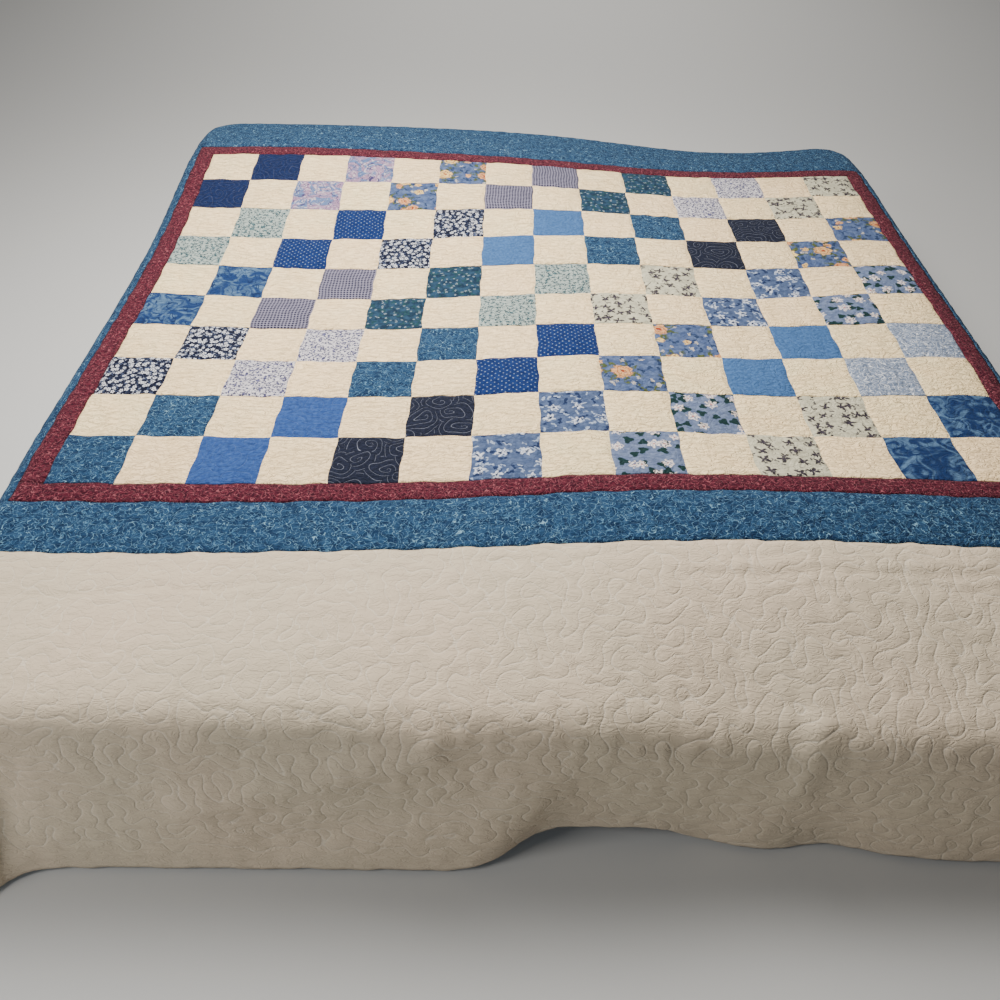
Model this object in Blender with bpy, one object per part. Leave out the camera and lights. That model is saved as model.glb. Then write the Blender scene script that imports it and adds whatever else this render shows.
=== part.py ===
"""A patchwork quilt spread over a king-size mattress that stands on a low base.

The quilt is set out flat, as a maker cuts it: s runs across the bed and t runs from the
foot (negative) to the head (positive), both in metres from the bed's centre. drape() then
lays any flat point over the mattress: level with its humps on top, round the edge, and
down the side in folds. Every cut piece is a closed sheet between seams 0.4 mm wide.
World: metres, +X to the bed's right seen from its foot, +Y to the head, +Z up, with the
floor at z = 0 under the bed's centre.
"""
import math

import bmesh
import bpy
from mathutils import Vector

# Bed
MATTRESS_WIDTH = 1.93
MATTRESS_LENGTH = 2.01
CORNER_ROUND = 0.10
EDGE_ROUND = 0.043
REST_HEIGHT = 0.360
BASE_HEIGHT = 0.100
BASE_INSET = 0.030
REST_GAP = 0.0003
CORE_X = MATTRESS_WIDTH / 2 - CORNER_ROUND
CORE_Y = MATTRESS_LENGTH / 2 - CORNER_ROUND
LEVEL_OUT = CORNER_ROUND - EDGE_ROUND

# Quilt, flat
PATCH = 0.127
COLUMNS = 14
ROWS = 10
PANEL_CENTRE = 0.093
INNER_STRIP = 0.0445
MIDDLE_STRIP = 0.1145
SEAM_HALF = 0.0002
THICK = 0.003
PATCH_CROWN = 0.0035
STRIP_CROWN = 0.0015

# How it lies
CLEARANCE = 0.005
HEM_HEIGHT = 0.008
HEAD_HEM = 0.145
HANG = 0.30
LEAST_REACH = 0.004
MOST_SLOPE = 0.8
TURN = 0.35
ROLL_STEPS = 4
HANG_STEPS = 6
CORNER_STEPS = 12
CORE_STEPS_FOOT = 3
HEM_ROUNDS = 4

# Humps of the bed's top: x, y, reach along x, reach along y, height
HUMPS = (
    (-0.75, 0.80, 0.75, 0.30, 0.045),
    (0.02, 0.44, 0.34, 0.26, 0.012),
    (-0.45, 0.10, 0.45, 0.36, -0.023),
    (0.13, -0.35, 0.26, 0.30, 0.017),
    (0.88, -0.20, 0.30, 0.40, 0.012),
    (0.48, 0.62, 0.36, 0.30, -0.018),
    (0.50, 0.12, 0.20, 0.16, -0.013),
    (0.42, -0.68, 0.52, 0.20, 0.044),
    (0.60, -1.10, 0.55, 0.25, -0.076),
    (-0.78, -0.76, 0.36, 0.20, -0.010),
    (0.62, 1.06, 0.45, 0.22, -0.058),
    (-0.60, 1.10, 0.60, 0.18, -0.010),
    (-0.42, -1.04, 0.60, 0.11, -0.022),
    (0.26, -1.05, 0.14, 0.14, -0.022),
    (1.00, 0.00, 0.08, 1.20, -0.022),
)

PANEL_X = COLUMNS * PATCH / 2
PANEL_FOOT = PANEL_CENTRE - ROWS * PATCH / 2
PANEL_HEAD = PANEL_CENTRE + ROWS * PATCH / 2
INNER_X = PANEL_X + INNER_STRIP
INNER_FOOT = PANEL_FOOT - INNER_STRIP
INNER_HEAD = PANEL_HEAD + INNER_STRIP
MIDDLE_X = INNER_X + MIDDLE_STRIP
MIDDLE_FOOT = INNER_FOOT - MIDDLE_STRIP
MIDDLE_HEAD = CORE_Y + HEAD_HEM

FOOT, RIGHT, HEAD, LEFT = (0, -1), (1, 0), (0, 1), (-1, 0)
ROUND_BED = math.tau * TURN + 4 * (CORE_X + CORE_Y)


def place_round(a, b, across, along):
    """Way round the bed, anticlockwise from the left end of the foot, in metres."""
    turn = math.atan2(across, -along) % math.tau
    walked = (a + CORE_X) + (b + CORE_Y)
    if turn > math.pi - 1e-6:
        walked = 2 * (CORE_X + CORE_Y) + (CORE_X - a) + (CORE_Y - b)
    return TURN * turn + walked


def at_foot(x):
    return place_round(x, -CORE_Y, *FOOT)


def at_right(y):
    return place_round(CORE_X, y, *RIGHT)


def at_left(y):
    return place_round(-CORE_X, y, *LEFT)


def at_corner(side_x, side_y, degrees):
    """A place on a corner's fan, in degrees from the bed's side towards its end."""
    angle = math.radians(degrees)
    return place_round(side_x * CORE_X, side_y * CORE_Y, side_x * math.cos(angle), side_y * math.sin(angle))


# Folds of the hanging cloth: place, half width, softness, reach outwards at the hem,
# lean of the fold's top along the bed, lift of the hem
FOLDS = (
    (at_foot(-0.475), 0.412, 0.040, 0.060, 0.130, 0.000),
    (at_foot(0.090), 0.140, 0.050, 0.000, 0.000, 0.040),
    (at_foot(0.365), 0.055, 0.045, 0.024, 0.000, 0.000),
    (at_foot(0.740), 0.190, 0.080, 0.042, -0.050, 0.002),
    (at_corner(1, -1, 70), 0.090, 0.052, 0.140, 0.000, 0.004),
    (at_corner(1, -1, 23), 0.080, 0.050, 0.115, 0.000, 0.002),
    (at_right(-0.560), 0.080, 0.080, 0.034, 0.030, 0.000),
    (at_right(-0.120), 0.120, 0.090, 0.046, -0.040, 0.003),
    (at_right(0.380), 0.090, 0.080, 0.030, 0.040, 0.000),
    (at_right(0.780), 0.060, 0.070, 0.040, -0.020, 0.002),
    (at_corner(1, 1, 12), 0.050, 0.060, 0.018, 0.000, 0.000),
    (at_corner(-1, 1, 12), 0.050, 0.060, 0.014, 0.000, 0.000),
    (at_left(0.700), 0.080, 0.080, 0.038, 0.030, 0.002),
    (at_left(0.240), 0.110, 0.090, 0.030, -0.040, 0.000),
    (at_left(-0.250), 0.090, 0.080, 0.048, 0.030, 0.003),
    (at_left(-0.640), 0.060, 0.070, 0.028, 0.000, 0.000),
    (at_corner(-1, -1, 26), 0.084, 0.052, 0.125, 0.000, 0.002),
    (at_corner(-1, -1, 71), 0.090, 0.052, 0.140, 0.000, 0.004),
)

# Creases in the cloth: from s, t to s, t, half width, height
CREASES = (
    (-0.540, -1.170, -0.170, -1.045, 0.036, 0.012),
    (-0.430, -1.262, -0.100, -1.145, 0.036, -0.005),
    (0.385, -1.100, 0.400, -0.985, 0.022, 0.006),
)


def clamp(value, low, high):
    return max(low, min(high, value))


def lie(x, y):
    """Height of the cloth's underside where it lies on the bed."""
    height = REST_HEIGHT
    for hump_x, hump_y, reach_x, reach_y, rise in HUMPS:
        height += rise * math.exp(-((x - hump_x) / reach_x) ** 2 - ((y - hump_y) / reach_y) ** 2)
    return height


def fold_at(place, down):
    """Reach and lift of the folds at a place, at a share of the way down to the hem."""
    reach, lift = LEAST_REACH, 0.0
    for centre, half, soft, out, lean, raised in FOLDS:
        off = (place - centre - lean * (1 - down) + ROUND_BED / 2) % ROUND_BED - ROUND_BED / 2
        share = (math.tanh((off + half) / soft) - math.tanh((off - half) / soft)) / 2
        reach += out * share
        lift += raised * share
    return reach, lift


def split(s, t):
    """The nearest point of the bed's core, the direction out of it and the distance."""
    a, b = clamp(s, -CORE_X, CORE_X), clamp(t, -CORE_Y, CORE_Y)
    out = math.hypot(s - a, t - b)
    if out < 1e-9:
        return a, b, 0.0, 0.0, 0.0
    return a, b, (s - a) / out, (t - b) / out, out


def drape(s, t, gap=CLEARANCE, folded=True):
    """Where a flat point lies, gap metres outside the mattress."""
    a, b, across, along, out = split(s, t)
    roll = EDGE_ROUND + gap
    if out <= LEVEL_OUT:
        return Vector((s, t, lie(s, t) - CLEARANCE + gap))
    past = out - LEVEL_OUT
    slope = 0.0
    if folded:
        down = clamp((past - roll * math.pi / 2) / HANG, 0, 1)
        reach, _ = fold_at(place_round(a, b, across, along), down)
        slope = math.asin(min(reach / HANG, MOST_SLOPE))
    turn = min(past / roll, math.pi / 2 - slope)
    straight = past - roll * turn
    ahead = LEVEL_OUT + roll * math.sin(turn) + straight * math.sin(slope)
    fall = roll * (1 - math.cos(turn)) + straight * math.cos(slope)
    edge = min(ahead, CORNER_ROUND)
    height = lie(a + across * edge, b + along * edge) - CLEARANCE + gap
    return Vector((a + across * ahead, b + along * ahead, height - fall))


def hem_distance(a, b, across, along):
    """Flat distance from the core to the hem that hangs just over the floor."""
    roll = EDGE_ROUND + CLEARANCE
    reach, lift = fold_at(place_round(a, b, across, along), 1.0)
    slope = math.asin(min(reach / HANG, MOST_SLOPE))
    turn = math.pi / 2 - slope
    top = lie(a + across * CORNER_ROUND, b + along * CORNER_ROUND)
    straight = (top - roll * (1 - math.cos(turn)) - HEM_HEIGHT - lift) / math.cos(slope)
    return LEVEL_OUT + roll * turn + straight


def crease(s, t):
    """Rise of the cloth where a crease runs by."""
    rise = 0.0
    for from_s, from_t, to_s, to_t, half, height in CREASES:
        run_s, run_t = to_s - from_s, to_t - from_t
        share = ((s - from_s) * run_s + (t - from_t) * run_t) / (run_s ** 2 + run_t ** 2)
        nearest = clamp(share, 0, 1)
        off = math.hypot(s - from_s - nearest * run_s, t - from_t - nearest * run_t)
        rise += height * math.exp(-(off / half) ** 2)
    return rise


def skin(s, t, raised):
    """A point of the quilt, raised above its underside along the cloth's normal."""
    step = 0.002
    along_s = drape(s + step, t) - drape(s - step, t)
    along_t = drape(s, t + step) - drape(s, t - step)
    normal = along_s.cross(along_t).normalized()
    return drape(s, t) + normal * (raised + crease(s, t))


def roll_distances(roll):
    """Flat distances from the core at which an edge of that radius is cut."""
    length = roll * math.pi / 2
    return [LEVEL_OUT + length * k / ROLL_STEPS for k in range(ROLL_STEPS + 1)]


# Cut lines that all pieces share, so that neighbours bend at the same places
ROLL_CUTS = roll_distances(EDGE_ROUND + CLEARANCE)
CORNER_CUTS = [0.020, 0.040]
S_LINES = [PATCH / 2 * k for k in range(-COLUMNS, COLUMNS + 1)]
S_LINES += [side * (CORE_X + cut) for side in (-1, 1) for cut in CORNER_CUTS + ROLL_CUTS]
T_LINES = [PANEL_CENTRE + PATCH / 2 * k for k in range(-ROWS, ROWS + 3)]
T_LINES += [CORE_Y] + [CORE_Y + cut for cut in CORNER_CUTS + ROLL_CUTS]
FOOT_LINES = [-0.80, -0.70]
NEAR = 0.006


def cuts(low, high, lines):
    """low, high and the shared lines between them."""
    inside = sorted(line for line in lines if low + NEAR < line < high - NEAR)
    return [low] + inside + [high]


def between(low, high, steps):
    return [low + (high - low) * k / steps for k in range(steps + 1)]


def down_to_hem(a, b, across, along, start):
    """Flat points from a start distance, round the edge and down to the hem."""
    hem = hem_distance(a, b, across, along)
    last_roll = ROLL_CUTS[-1]
    distances = [start] + [cut for cut in ROLL_CUTS if cut > start + NEAR]
    first = max(start, last_roll)
    distances += between(first, hem, HANG_STEPS)[1:]
    return [(a + across * r, b + along * r) for r in distances]


def grid(s_values, t_values):
    """Columns of flat points, one for each s."""
    return [[(s, t) for t in t_values] for s in s_values]


def rectangle(s_low, s_high, t_low, t_high, middle=""):
    """A cut piece with straight sides; middle names the way that gets a crown line."""
    s_low, s_high = s_low + SEAM_HALF, s_high - SEAM_HALF
    t_low, t_high = t_low + SEAM_HALF, t_high - SEAM_HALF
    s_values, t_values = cuts(s_low, s_high, S_LINES), cuts(t_low, t_high, T_LINES)
    if middle == "s" and len(s_values) == 2:
        s_values.insert(1, (s_low + s_high) / 2)
    if middle == "t" and len(t_values) == 2:
        t_values.insert(1, (t_low + t_high) / 2)
    return [grid(s_values, t_values)]


def weave(blocks):
    """Flat vertices and faces of blocks of columns, joined where they share points."""
    index, points, faces = {}, [], []

    def number(point):
        key = (round(point[0], 6), round(point[1], 6))
        if key not in index:
            index[key] = len(points)
            points.append(point)
        return index[key]

    for columns in blocks:
        for left, right in zip(columns, columns[1:]):
            for k in range(len(left) - 1):
                loop = [number(p) for p in (left[k], right[k], right[k + 1], left[k + 1])]
                loop = list(dict.fromkeys(loop))
                if len(loop) > 2:
                    faces.append(loop)
    return points, faces


def fabric(name, colour, roughness=0.9):
    """A plain cloth material."""
    material = bpy.data.materials.new(name)
    material.use_nodes = True
    shader = material.node_tree.nodes["Principled BSDF"]
    shader.inputs["Base Color"].default_value = (*colour, 1.0)
    shader.inputs["Roughness"].default_value = roughness
    shader.inputs["Metallic"].default_value = 0.0
    return material


def finish(name, bm, material):
    """Make the object of a closed bmesh with its faces pointing out."""
    bmesh.ops.triangulate(bm, faces=bm.faces[:])
    bmesh.ops.recalc_face_normals(bm, faces=bm.faces[:])
    mesh = bpy.data.meshes.new(name)
    bm.to_mesh(mesh)
    bm.free()
    mesh.materials.append(material)
    mesh.shade_smooth()
    mesh.set_sharp_from_angle(angle=math.radians(50))
    item = bpy.data.objects.new(name, mesh)
    bpy.context.scene.collection.objects.link(item)
    return item


def sheet(name, blocks, crown, material):
    """A cut piece of the quilt as a closed solid, crown metres thicker where crown says."""
    points, faces = weave(blocks)
    bm = bmesh.new()
    under = [bm.verts.new(skin(s, t, 0.0)) for s, t in points]
    over = [bm.verts.new(skin(s, t, THICK + crown(s, t))) for s, t in points]
    for loop in faces:
        bm.faces.new([over[k] for k in loop])
        bm.faces.new([under[k] for k in reversed(loop)])
    open_edges = [edge for edge in bm.edges if edge.is_boundary]
    partner = {under[k]: over[k] for k in range(len(points))}
    for edge in open_edges:
        first, second = edge.verts
        if first in partner:
            bm.faces.new([first, second, partner[second], partner[first]])
    return finish(name, bm, material)


def patch_crown(s, t):
    """Height of the puffed patches between their seams."""
    if abs(s) >= PANEL_X - 0.001 or not PANEL_FOOT + 0.001 < t < PANEL_HEAD - 0.001:
        return 0.0
    across = abs(math.sin(math.pi * (s - PANEL_X) / PATCH))
    along = abs(math.sin(math.pi * (t - PANEL_FOOT) / PATCH))
    return PATCH_CROWN * math.sqrt(across * along)


def no_crown(s, t):
    return 0.0


def strip_crown(low, high, way):
    """A crown along the middle of a strip that runs between two seams."""
    def crown(s, t):
        value = (s, t)[way]
        share = clamp((value - low) / (high - low), 0, 1)
        return STRIP_CROWN * math.sin(math.pi * share)
    return crown


def foot_border():
    """Blocks of the wide foot border: its flat part, its drop, two fans, two side ends."""
    top_edge = MIDDLE_FOOT - SEAM_HALF
    core_t = between(top_edge, -CORE_Y, CORE_STEPS_FOOT)
    core_s = cuts(-CORE_X, CORE_X, S_LINES)
    blocks = [grid(core_s, core_t)]
    blocks.append([down_to_hem(s, -CORE_Y, *FOOT, 0.0) for s in core_s])
    for side in (-1, 1):
        blocks.append([down_to_hem(side * CORE_X, t, side, 0, 0.0) for t in core_t])
        fan = []
        for angle in between(0, math.pi / 2, CORNER_STEPS):
            across, along = side * round(math.cos(angle), 9), -round(math.sin(angle), 9)
            fan.append(down_to_hem(side * CORE_X, -CORE_Y, across, along, 0.0))
        blocks.append(fan)
    return blocks


def side_border(side):
    """Blocks of one side border, from its seam down to the hem and past the head corner."""
    seam = MIDDLE_X + SEAM_HALF - CORE_X
    columns = []
    for t in cuts(MIDDLE_FOOT + SEAM_HALF, MIDDLE_HEAD, T_LINES):
        if t <= CORE_Y:
            columns.append(down_to_hem(side * CORE_X, t, side, 0, seam))
            continue
        past = t - CORE_Y
        hem = hem_distance(side * CORE_X, CORE_Y, side, 0)
        for _ in range(HEM_ROUNDS):
            angle = math.asin(past / hem)
            hem = hem_distance(side * CORE_X, CORE_Y, side * math.cos(angle), math.sin(angle))
        end = math.sqrt(hem ** 2 - past ** 2)
        columns.append([(side * (CORE_X + r), t) for r in between(seam, end, HANG_STEPS)])
    return [columns]


def quilt(cream, burgundy, teal, patchwork):
    """All cut pieces of the quilt."""
    sheet("patchwork_panel", rectangle(-PANEL_X, PANEL_X, PANEL_FOOT, PANEL_HEAD), patch_crown, patchwork)
    ends = (("foot", INNER_FOOT, PANEL_FOOT, MIDDLE_FOOT, INNER_FOOT),
            ("head", PANEL_HEAD, INNER_HEAD, INNER_HEAD, MIDDLE_HEAD))
    for end, inner_low, inner_high, middle_low, middle_high in ends:
        inner = rectangle(-INNER_X, INNER_X, inner_low, inner_high, "t")
        sheet("inner_strip_" + end, inner, strip_crown(inner_low, inner_high, 1), burgundy)
        middle = rectangle(-MIDDLE_X, MIDDLE_X, middle_low, middle_high, "t")
        sheet("middle_strip_" + end, middle, strip_crown(middle_low, middle_high, 1), teal)
    for side, name in ((-1, "left"), (1, "right")):
        seams = sorted((side * PANEL_X, side * INNER_X))
        inner = rectangle(*seams, PANEL_FOOT, PANEL_HEAD, "s")
        sheet("inner_strip_" + name, inner, strip_crown(*seams, 0), burgundy)
        seams = sorted((side * INNER_X, side * MIDDLE_X))
        middle = rectangle(*seams, INNER_FOOT, INNER_HEAD, "s")
        sheet("middle_strip_" + name, middle, strip_crown(*seams, 0), teal)
        sheet("outer_border_" + name, side_border(side), no_crown, cream)
    sheet("outer_border_foot", foot_border(), no_crown, cream)


def wall_starts():
    """Where the mattress's walls start on its core: rows of points with their way out."""
    core_s, core_t = cuts(-CORE_X, CORE_X, S_LINES), cuts(-CORE_Y, CORE_Y, T_LINES + FOOT_LINES)
    rows = [[(s, -CORE_Y, *FOOT) for s in core_s], [(s, CORE_Y, *HEAD) for s in core_s]]
    rows += [[(side * CORE_X, t, side, 0) for t in core_t] for side in (-1, 1)]
    for side_x in (-1, 1):
        for side_y in (-1, 1):
            fan = []
            for angle in between(0, math.pi / 2, CORNER_STEPS // 2):
                across, along = round(math.cos(angle), 9), round(math.sin(angle), 9)
                fan.append((side_x * CORE_X, side_y * CORE_Y, side_x * across, side_y * along))
            rows.append(fan)
    return [grid(core_s, core_t)], rows


def mattress(material):
    """The mattress, with the humps that the quilt shows, rounded edges and plain walls."""
    bottom = BASE_HEIGHT + REST_GAP
    roll_length = EDGE_ROUND * math.pi / 2
    blocks, rows = wall_starts()
    for starts in rows:
        columns = []
        for a, b, across, along in starts:
            top = lie(a + across * CORNER_ROUND, b + along * CORNER_ROUND) - CLEARANCE
            wall = LEVEL_OUT + roll_length + top - EDGE_ROUND - bottom
            distances = [0.0] + roll_distances(EDGE_ROUND) + [wall]
            columns.append([(a + across * r, b + along * r) for r in distances])
        blocks.append(columns)
    points, faces = weave(blocks)
    bm = bmesh.new()
    verts = [bm.verts.new(drape(s, t, 0.0, False)) for s, t in points]
    for loop in faces:
        bm.faces.new([verts[k] for k in loop])
    rim = [edge for edge in bm.edges if edge.is_boundary]
    for vert in {v for edge in rim for v in edge.verts}:
        vert.co.z = bottom
    bmesh.ops.holes_fill(bm, edges=rim, sides=0)
    return finish("mattress", bm, material)


def base(material):
    """The low base, a plain box with rounded corners set in under the mattress."""
    half_x = MATTRESS_WIDTH / 2 - BASE_INSET
    half_y = MATTRESS_LENGTH / 2 - BASE_INSET
    bm = bmesh.new()
    bmesh.ops.create_cube(bm, size=1.0)
    for vert in bm.verts:
        vert.co = Vector((vert.co.x * 2 * half_x, vert.co.y * 2 * half_y, (vert.co.z + 0.5) * BASE_HEIGHT))
    upright = [e for e in bm.edges if abs(e.verts[0].co.z - e.verts[1].co.z) > BASE_HEIGHT / 2]
    bmesh.ops.bevel(bm, geom=upright, offset=CORNER_ROUND - BASE_INSET, segments=6, profile=0.5,
                    affect="EDGES")
    return finish("bed_base", bm, material)


def main():
    for item in list(bpy.data.objects):
        bpy.data.objects.remove(item)
    quilt(
        cream=fabric("cream", (0.62, 0.55, 0.45)),
        burgundy=fabric("burgundy", (0.19, 0.03, 0.045)),
        teal=fabric("teal", (0.05, 0.13, 0.20)),
        patchwork=fabric("patchwork", (0.42, 0.42, 0.42)),
    )
    mattress(fabric("ticking", (0.75, 0.74, 0.70)))
    base(fabric("base_cloth", (0.20, 0.19, 0.18)))


main()
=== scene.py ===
# %% [markdown]
# # A patchwork quilt spread over a bed
# The object is a quilt of 140 sewn squares with three borders. It lies on a plain mattress
# and hangs to the floor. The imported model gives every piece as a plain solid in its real
# place. This lesson replaces each solid with cloth that has seams, quilting and prints.

# %% Load the frame
import math
import random

import bpy
import numpy as np
from mathutils import Euler, Matrix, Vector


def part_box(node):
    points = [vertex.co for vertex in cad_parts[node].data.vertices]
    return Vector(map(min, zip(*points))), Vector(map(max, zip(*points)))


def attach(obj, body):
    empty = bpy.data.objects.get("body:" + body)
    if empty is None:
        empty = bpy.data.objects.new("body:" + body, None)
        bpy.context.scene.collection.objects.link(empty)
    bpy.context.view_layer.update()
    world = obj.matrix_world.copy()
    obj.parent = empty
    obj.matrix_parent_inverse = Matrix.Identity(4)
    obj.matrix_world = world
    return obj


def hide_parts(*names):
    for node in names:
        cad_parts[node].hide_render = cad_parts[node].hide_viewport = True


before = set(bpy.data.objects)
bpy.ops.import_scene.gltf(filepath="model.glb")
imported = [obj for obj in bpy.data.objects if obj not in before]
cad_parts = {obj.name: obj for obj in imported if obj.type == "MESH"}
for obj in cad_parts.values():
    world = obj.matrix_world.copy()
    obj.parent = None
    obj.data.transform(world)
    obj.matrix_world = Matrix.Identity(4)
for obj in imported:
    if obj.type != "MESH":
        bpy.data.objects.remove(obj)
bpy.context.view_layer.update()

# %% [markdown]
# ## Camera
# The bed is seen from its foot, standing, looking down at about 45 degrees. The lens is set
# first, because it fixes how much of the cloth shows. Blender's camera looks along its own
# -Z, so a level camera is turned 90 degrees about X, and less than that when it looks down.

# %% Camera at the foot of the bed
EYE = (-0.063, -1.616, 1.418)
LOOK_DOWN = math.radians(45.475)
LOOK_LEFT = math.radians(0.58)
TILT = math.radians(0.143)
LENS = 30.56

bpy.ops.object.camera_add(location=EYE)
camera = bpy.context.object
aim = Euler((math.pi / 2 - LOOK_DOWN, 0.0, LOOK_LEFT)).to_matrix() @ Matrix.Rotation(TILT, 3, "Z")
camera.rotation_euler = aim.to_euler()
camera.data.lens = LENS
camera.data.sensor_width = 36.0
bpy.context.scene.camera = camera
print("camera", EYE, "lens", LENS, "mm")

# %% [markdown]
# ## Sizes of the quilt and the bed
# A quilter works in finished sizes: five-inch squares, a narrow strip, a wider strip and a
# wide border. All flat places are (s, t): s runs across the bed and t from foot to head.

# %% Sizes in metres
PATCH = 0.127
COLUMNS, ROWS = 14, 10
PANEL_CENTRE = 0.093
INNER_STRIP, MIDDLE_STRIP = 0.0445, 0.1145
SEAM_HALF = 0.0002  # half of the gap between two sewn pieces
THICK = 0.003  # from the quilt's underside to its plain face
CLOTH = 0.0026  # what Solidify gives a visible piece

MATTRESS_WIDTH, MATTRESS_LENGTH = 1.93, 2.01
CORNER_ROUND, EDGE_ROUND = 0.10, 0.043
REST_HEIGHT, BASE_HEIGHT, BASE_INSET = 0.360, 0.100, 0.030
CLEARANCE, HEM_HEIGHT, HEAD_HEM = 0.005, 0.008, 0.145
HANG = 0.30  # hanging length over which a fold reaches out
LEAST_REACH = 0.004  # how far the hem stands out between folds
MOST_SLOPE = 0.8  # sine of the steepest a fold can lean
TURN = 0.35  # metres that a radian of turning adds to the walk round the bed

CORE_X = MATTRESS_WIDTH / 2 - CORNER_ROUND
CORE_Y = MATTRESS_LENGTH / 2 - CORNER_ROUND
LEVEL_OUT = CORNER_ROUND - EDGE_ROUND
PANEL_X = COLUMNS * PATCH / 2
PANEL_FOOT, PANEL_HEAD = PANEL_CENTRE - ROWS * PATCH / 2, PANEL_CENTRE + ROWS * PATCH / 2
INNER_X, INNER_FOOT = PANEL_X + INNER_STRIP, PANEL_FOOT - INNER_STRIP
INNER_HEAD = PANEL_HEAD + INNER_STRIP
MIDDLE_X, MIDDLE_FOOT = INNER_X + MIDDLE_STRIP, INNER_FOOT - MIDDLE_STRIP
MIDDLE_HEAD = CORE_Y + HEAD_HEM
ROUND_BED = math.tau * TURN + 4 * (CORE_X + CORE_Y)
print("panel", round(2 * PANEL_X, 3), "by", round(ROWS * PATCH, 3), "m")

# %% [markdown]
# ## How the cloth lies
# Cloth on a used bed is never level. The humps below are the soft rises and dips of the
# bed's top, each a smooth bell. They could be sculpted, but a short table keeps the solids
# and the visible cloth the same.

# %% Humps of the bed's top
HUMPS = (  # x, y, reach along x, reach along y, height
    (-0.75, 0.80, 0.75, 0.30, 0.045),
    (0.02, 0.44, 0.34, 0.26, 0.012),
    (-0.45, 0.10, 0.45, 0.36, -0.023),
    (0.13, -0.35, 0.26, 0.30, 0.017),
    (0.88, -0.20, 0.30, 0.40, 0.012),
    (0.48, 0.62, 0.36, 0.30, -0.018),
    (0.50, 0.12, 0.20, 0.16, -0.013),
    (0.42, -0.68, 0.52, 0.20, 0.044),
    (0.60, -1.10, 0.55, 0.25, -0.076),
    (-0.78, -0.76, 0.36, 0.20, -0.010),
    (0.62, 1.06, 0.45, 0.22, -0.058),
    (-0.60, 1.10, 0.60, 0.18, -0.010),
    (-0.42, -1.04, 0.60, 0.11, -0.022),
    (0.26, -1.05, 0.14, 0.14, -0.022),
    (1.00, 0.00, 0.08, 1.20, -0.022),
)


def lie(x, y):
    """Height of the cloth's underside where it lies on the bed."""
    height = REST_HEIGHT
    for hump_x, hump_y, reach_x, reach_y, rise in HUMPS:
        height = height + rise * np.exp(-((x - hump_x) / reach_x) ** 2 - ((y - hump_y) / reach_y) ** 2)
    return height


print("top at the centre", round(float(lie(0.0, 0.0)), 3), "m above the floor")

# %% [markdown]
# ## Folds of the hanging part
# Below the mattress's edge the cloth hangs in folds. A fold is given by its place on a walk
# round the bed, how wide and soft it is, how far it stands out at the hem, how its top leans
# and how much it lifts the hem. The wide lobe at the left of the foot is one such fold.

# %% Folds round the bed
FOOT = (0, -1)


def place_round(a, b, across, along):
    """Way round the bed, anticlockwise from the left end of the foot."""
    turn = np.arctan2(across, -along) % math.tau
    half = 2 * (CORE_X + CORE_Y)
    back = turn > math.pi - 1e-6
    walked = np.where(back, half + (CORE_X - a) + (CORE_Y - b), (a + CORE_X) + (b + CORE_Y))
    return TURN * turn + walked


def at_foot(x):
    """A place on the foot edge."""
    return float(place_round(x, -CORE_Y, *FOOT))


def at_side(side, y):
    """A place on the left (-1) or right (1) edge."""
    return float(place_round(side * CORE_X, y, side, 0))


def at_corner(side, end, degrees):
    """A place on a corner's fan, in degrees from the bed's side towards its end."""
    angle = math.radians(degrees)
    return float(place_round(side * CORE_X, end * CORE_Y, side * math.cos(angle), end * math.sin(angle)))


FOLDS = (  # place, half width, softness, reach at the hem, lean of the top, lift of the hem
    (at_foot(-0.475), 0.412, 0.040, 0.060, 0.130, 0.000),
    (at_foot(0.090), 0.140, 0.050, 0.000, 0.000, 0.040),
    (at_foot(0.365), 0.055, 0.045, 0.024, 0.000, 0.000),
    (at_foot(0.740), 0.190, 0.080, 0.042, -0.050, 0.002),
    (at_corner(1, -1, 70), 0.090, 0.052, 0.140, 0.000, 0.004),
    (at_corner(1, -1, 23), 0.080, 0.050, 0.115, 0.000, 0.002),
    (at_side(1, -0.560), 0.080, 0.080, 0.034, 0.030, 0.000),
    (at_side(1, -0.120), 0.120, 0.090, 0.046, -0.040, 0.003),
    (at_side(1, 0.380), 0.090, 0.080, 0.030, 0.040, 0.000),
    (at_side(1, 0.780), 0.060, 0.070, 0.040, -0.020, 0.002),
    (at_corner(1, 1, 12), 0.050, 0.060, 0.018, 0.000, 0.000),
    (at_corner(-1, 1, 12), 0.050, 0.060, 0.014, 0.000, 0.000),
    (at_side(-1, 0.700), 0.080, 0.080, 0.038, 0.030, 0.002),
    (at_side(-1, 0.240), 0.110, 0.090, 0.030, -0.040, 0.000),
    (at_side(-1, -0.250), 0.090, 0.080, 0.048, 0.030, 0.003),
    (at_side(-1, -0.640), 0.060, 0.070, 0.028, 0.000, 0.000),
    (at_corner(-1, -1, 26), 0.084, 0.052, 0.125, 0.000, 0.002),
    (at_corner(-1, -1, 71), 0.090, 0.052, 0.140, 0.000, 0.004),
)


def fold_at(place, down):
    """Reach and lift of the folds at a place, at a share of the way down to the hem."""
    reach, lift = LEAST_REACH, 0.0
    for centre, half, soft, out, lean, raised in FOLDS:
        off = (place - centre - lean * (1 - down) + ROUND_BED / 2) % ROUND_BED - ROUND_BED / 2
        share = (np.tanh((off + half) / soft) - np.tanh((off - half) / soft)) / 2
        reach, lift = reach + out * share, lift + raised * share
    return reach, lift


print(len(FOLDS), "folds on a walk of", round(ROUND_BED, 2), "m")

# %% [markdown]
# ## From the flat cut to the bed
# Every flat point has one place on the bed: level on top, round the edge and down the side.
# A cloth simulation could find such a shape, but it wouldn't land on the real folds. So
# the drape is a function, and all pieces use it, which keeps their seams together.

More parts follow.
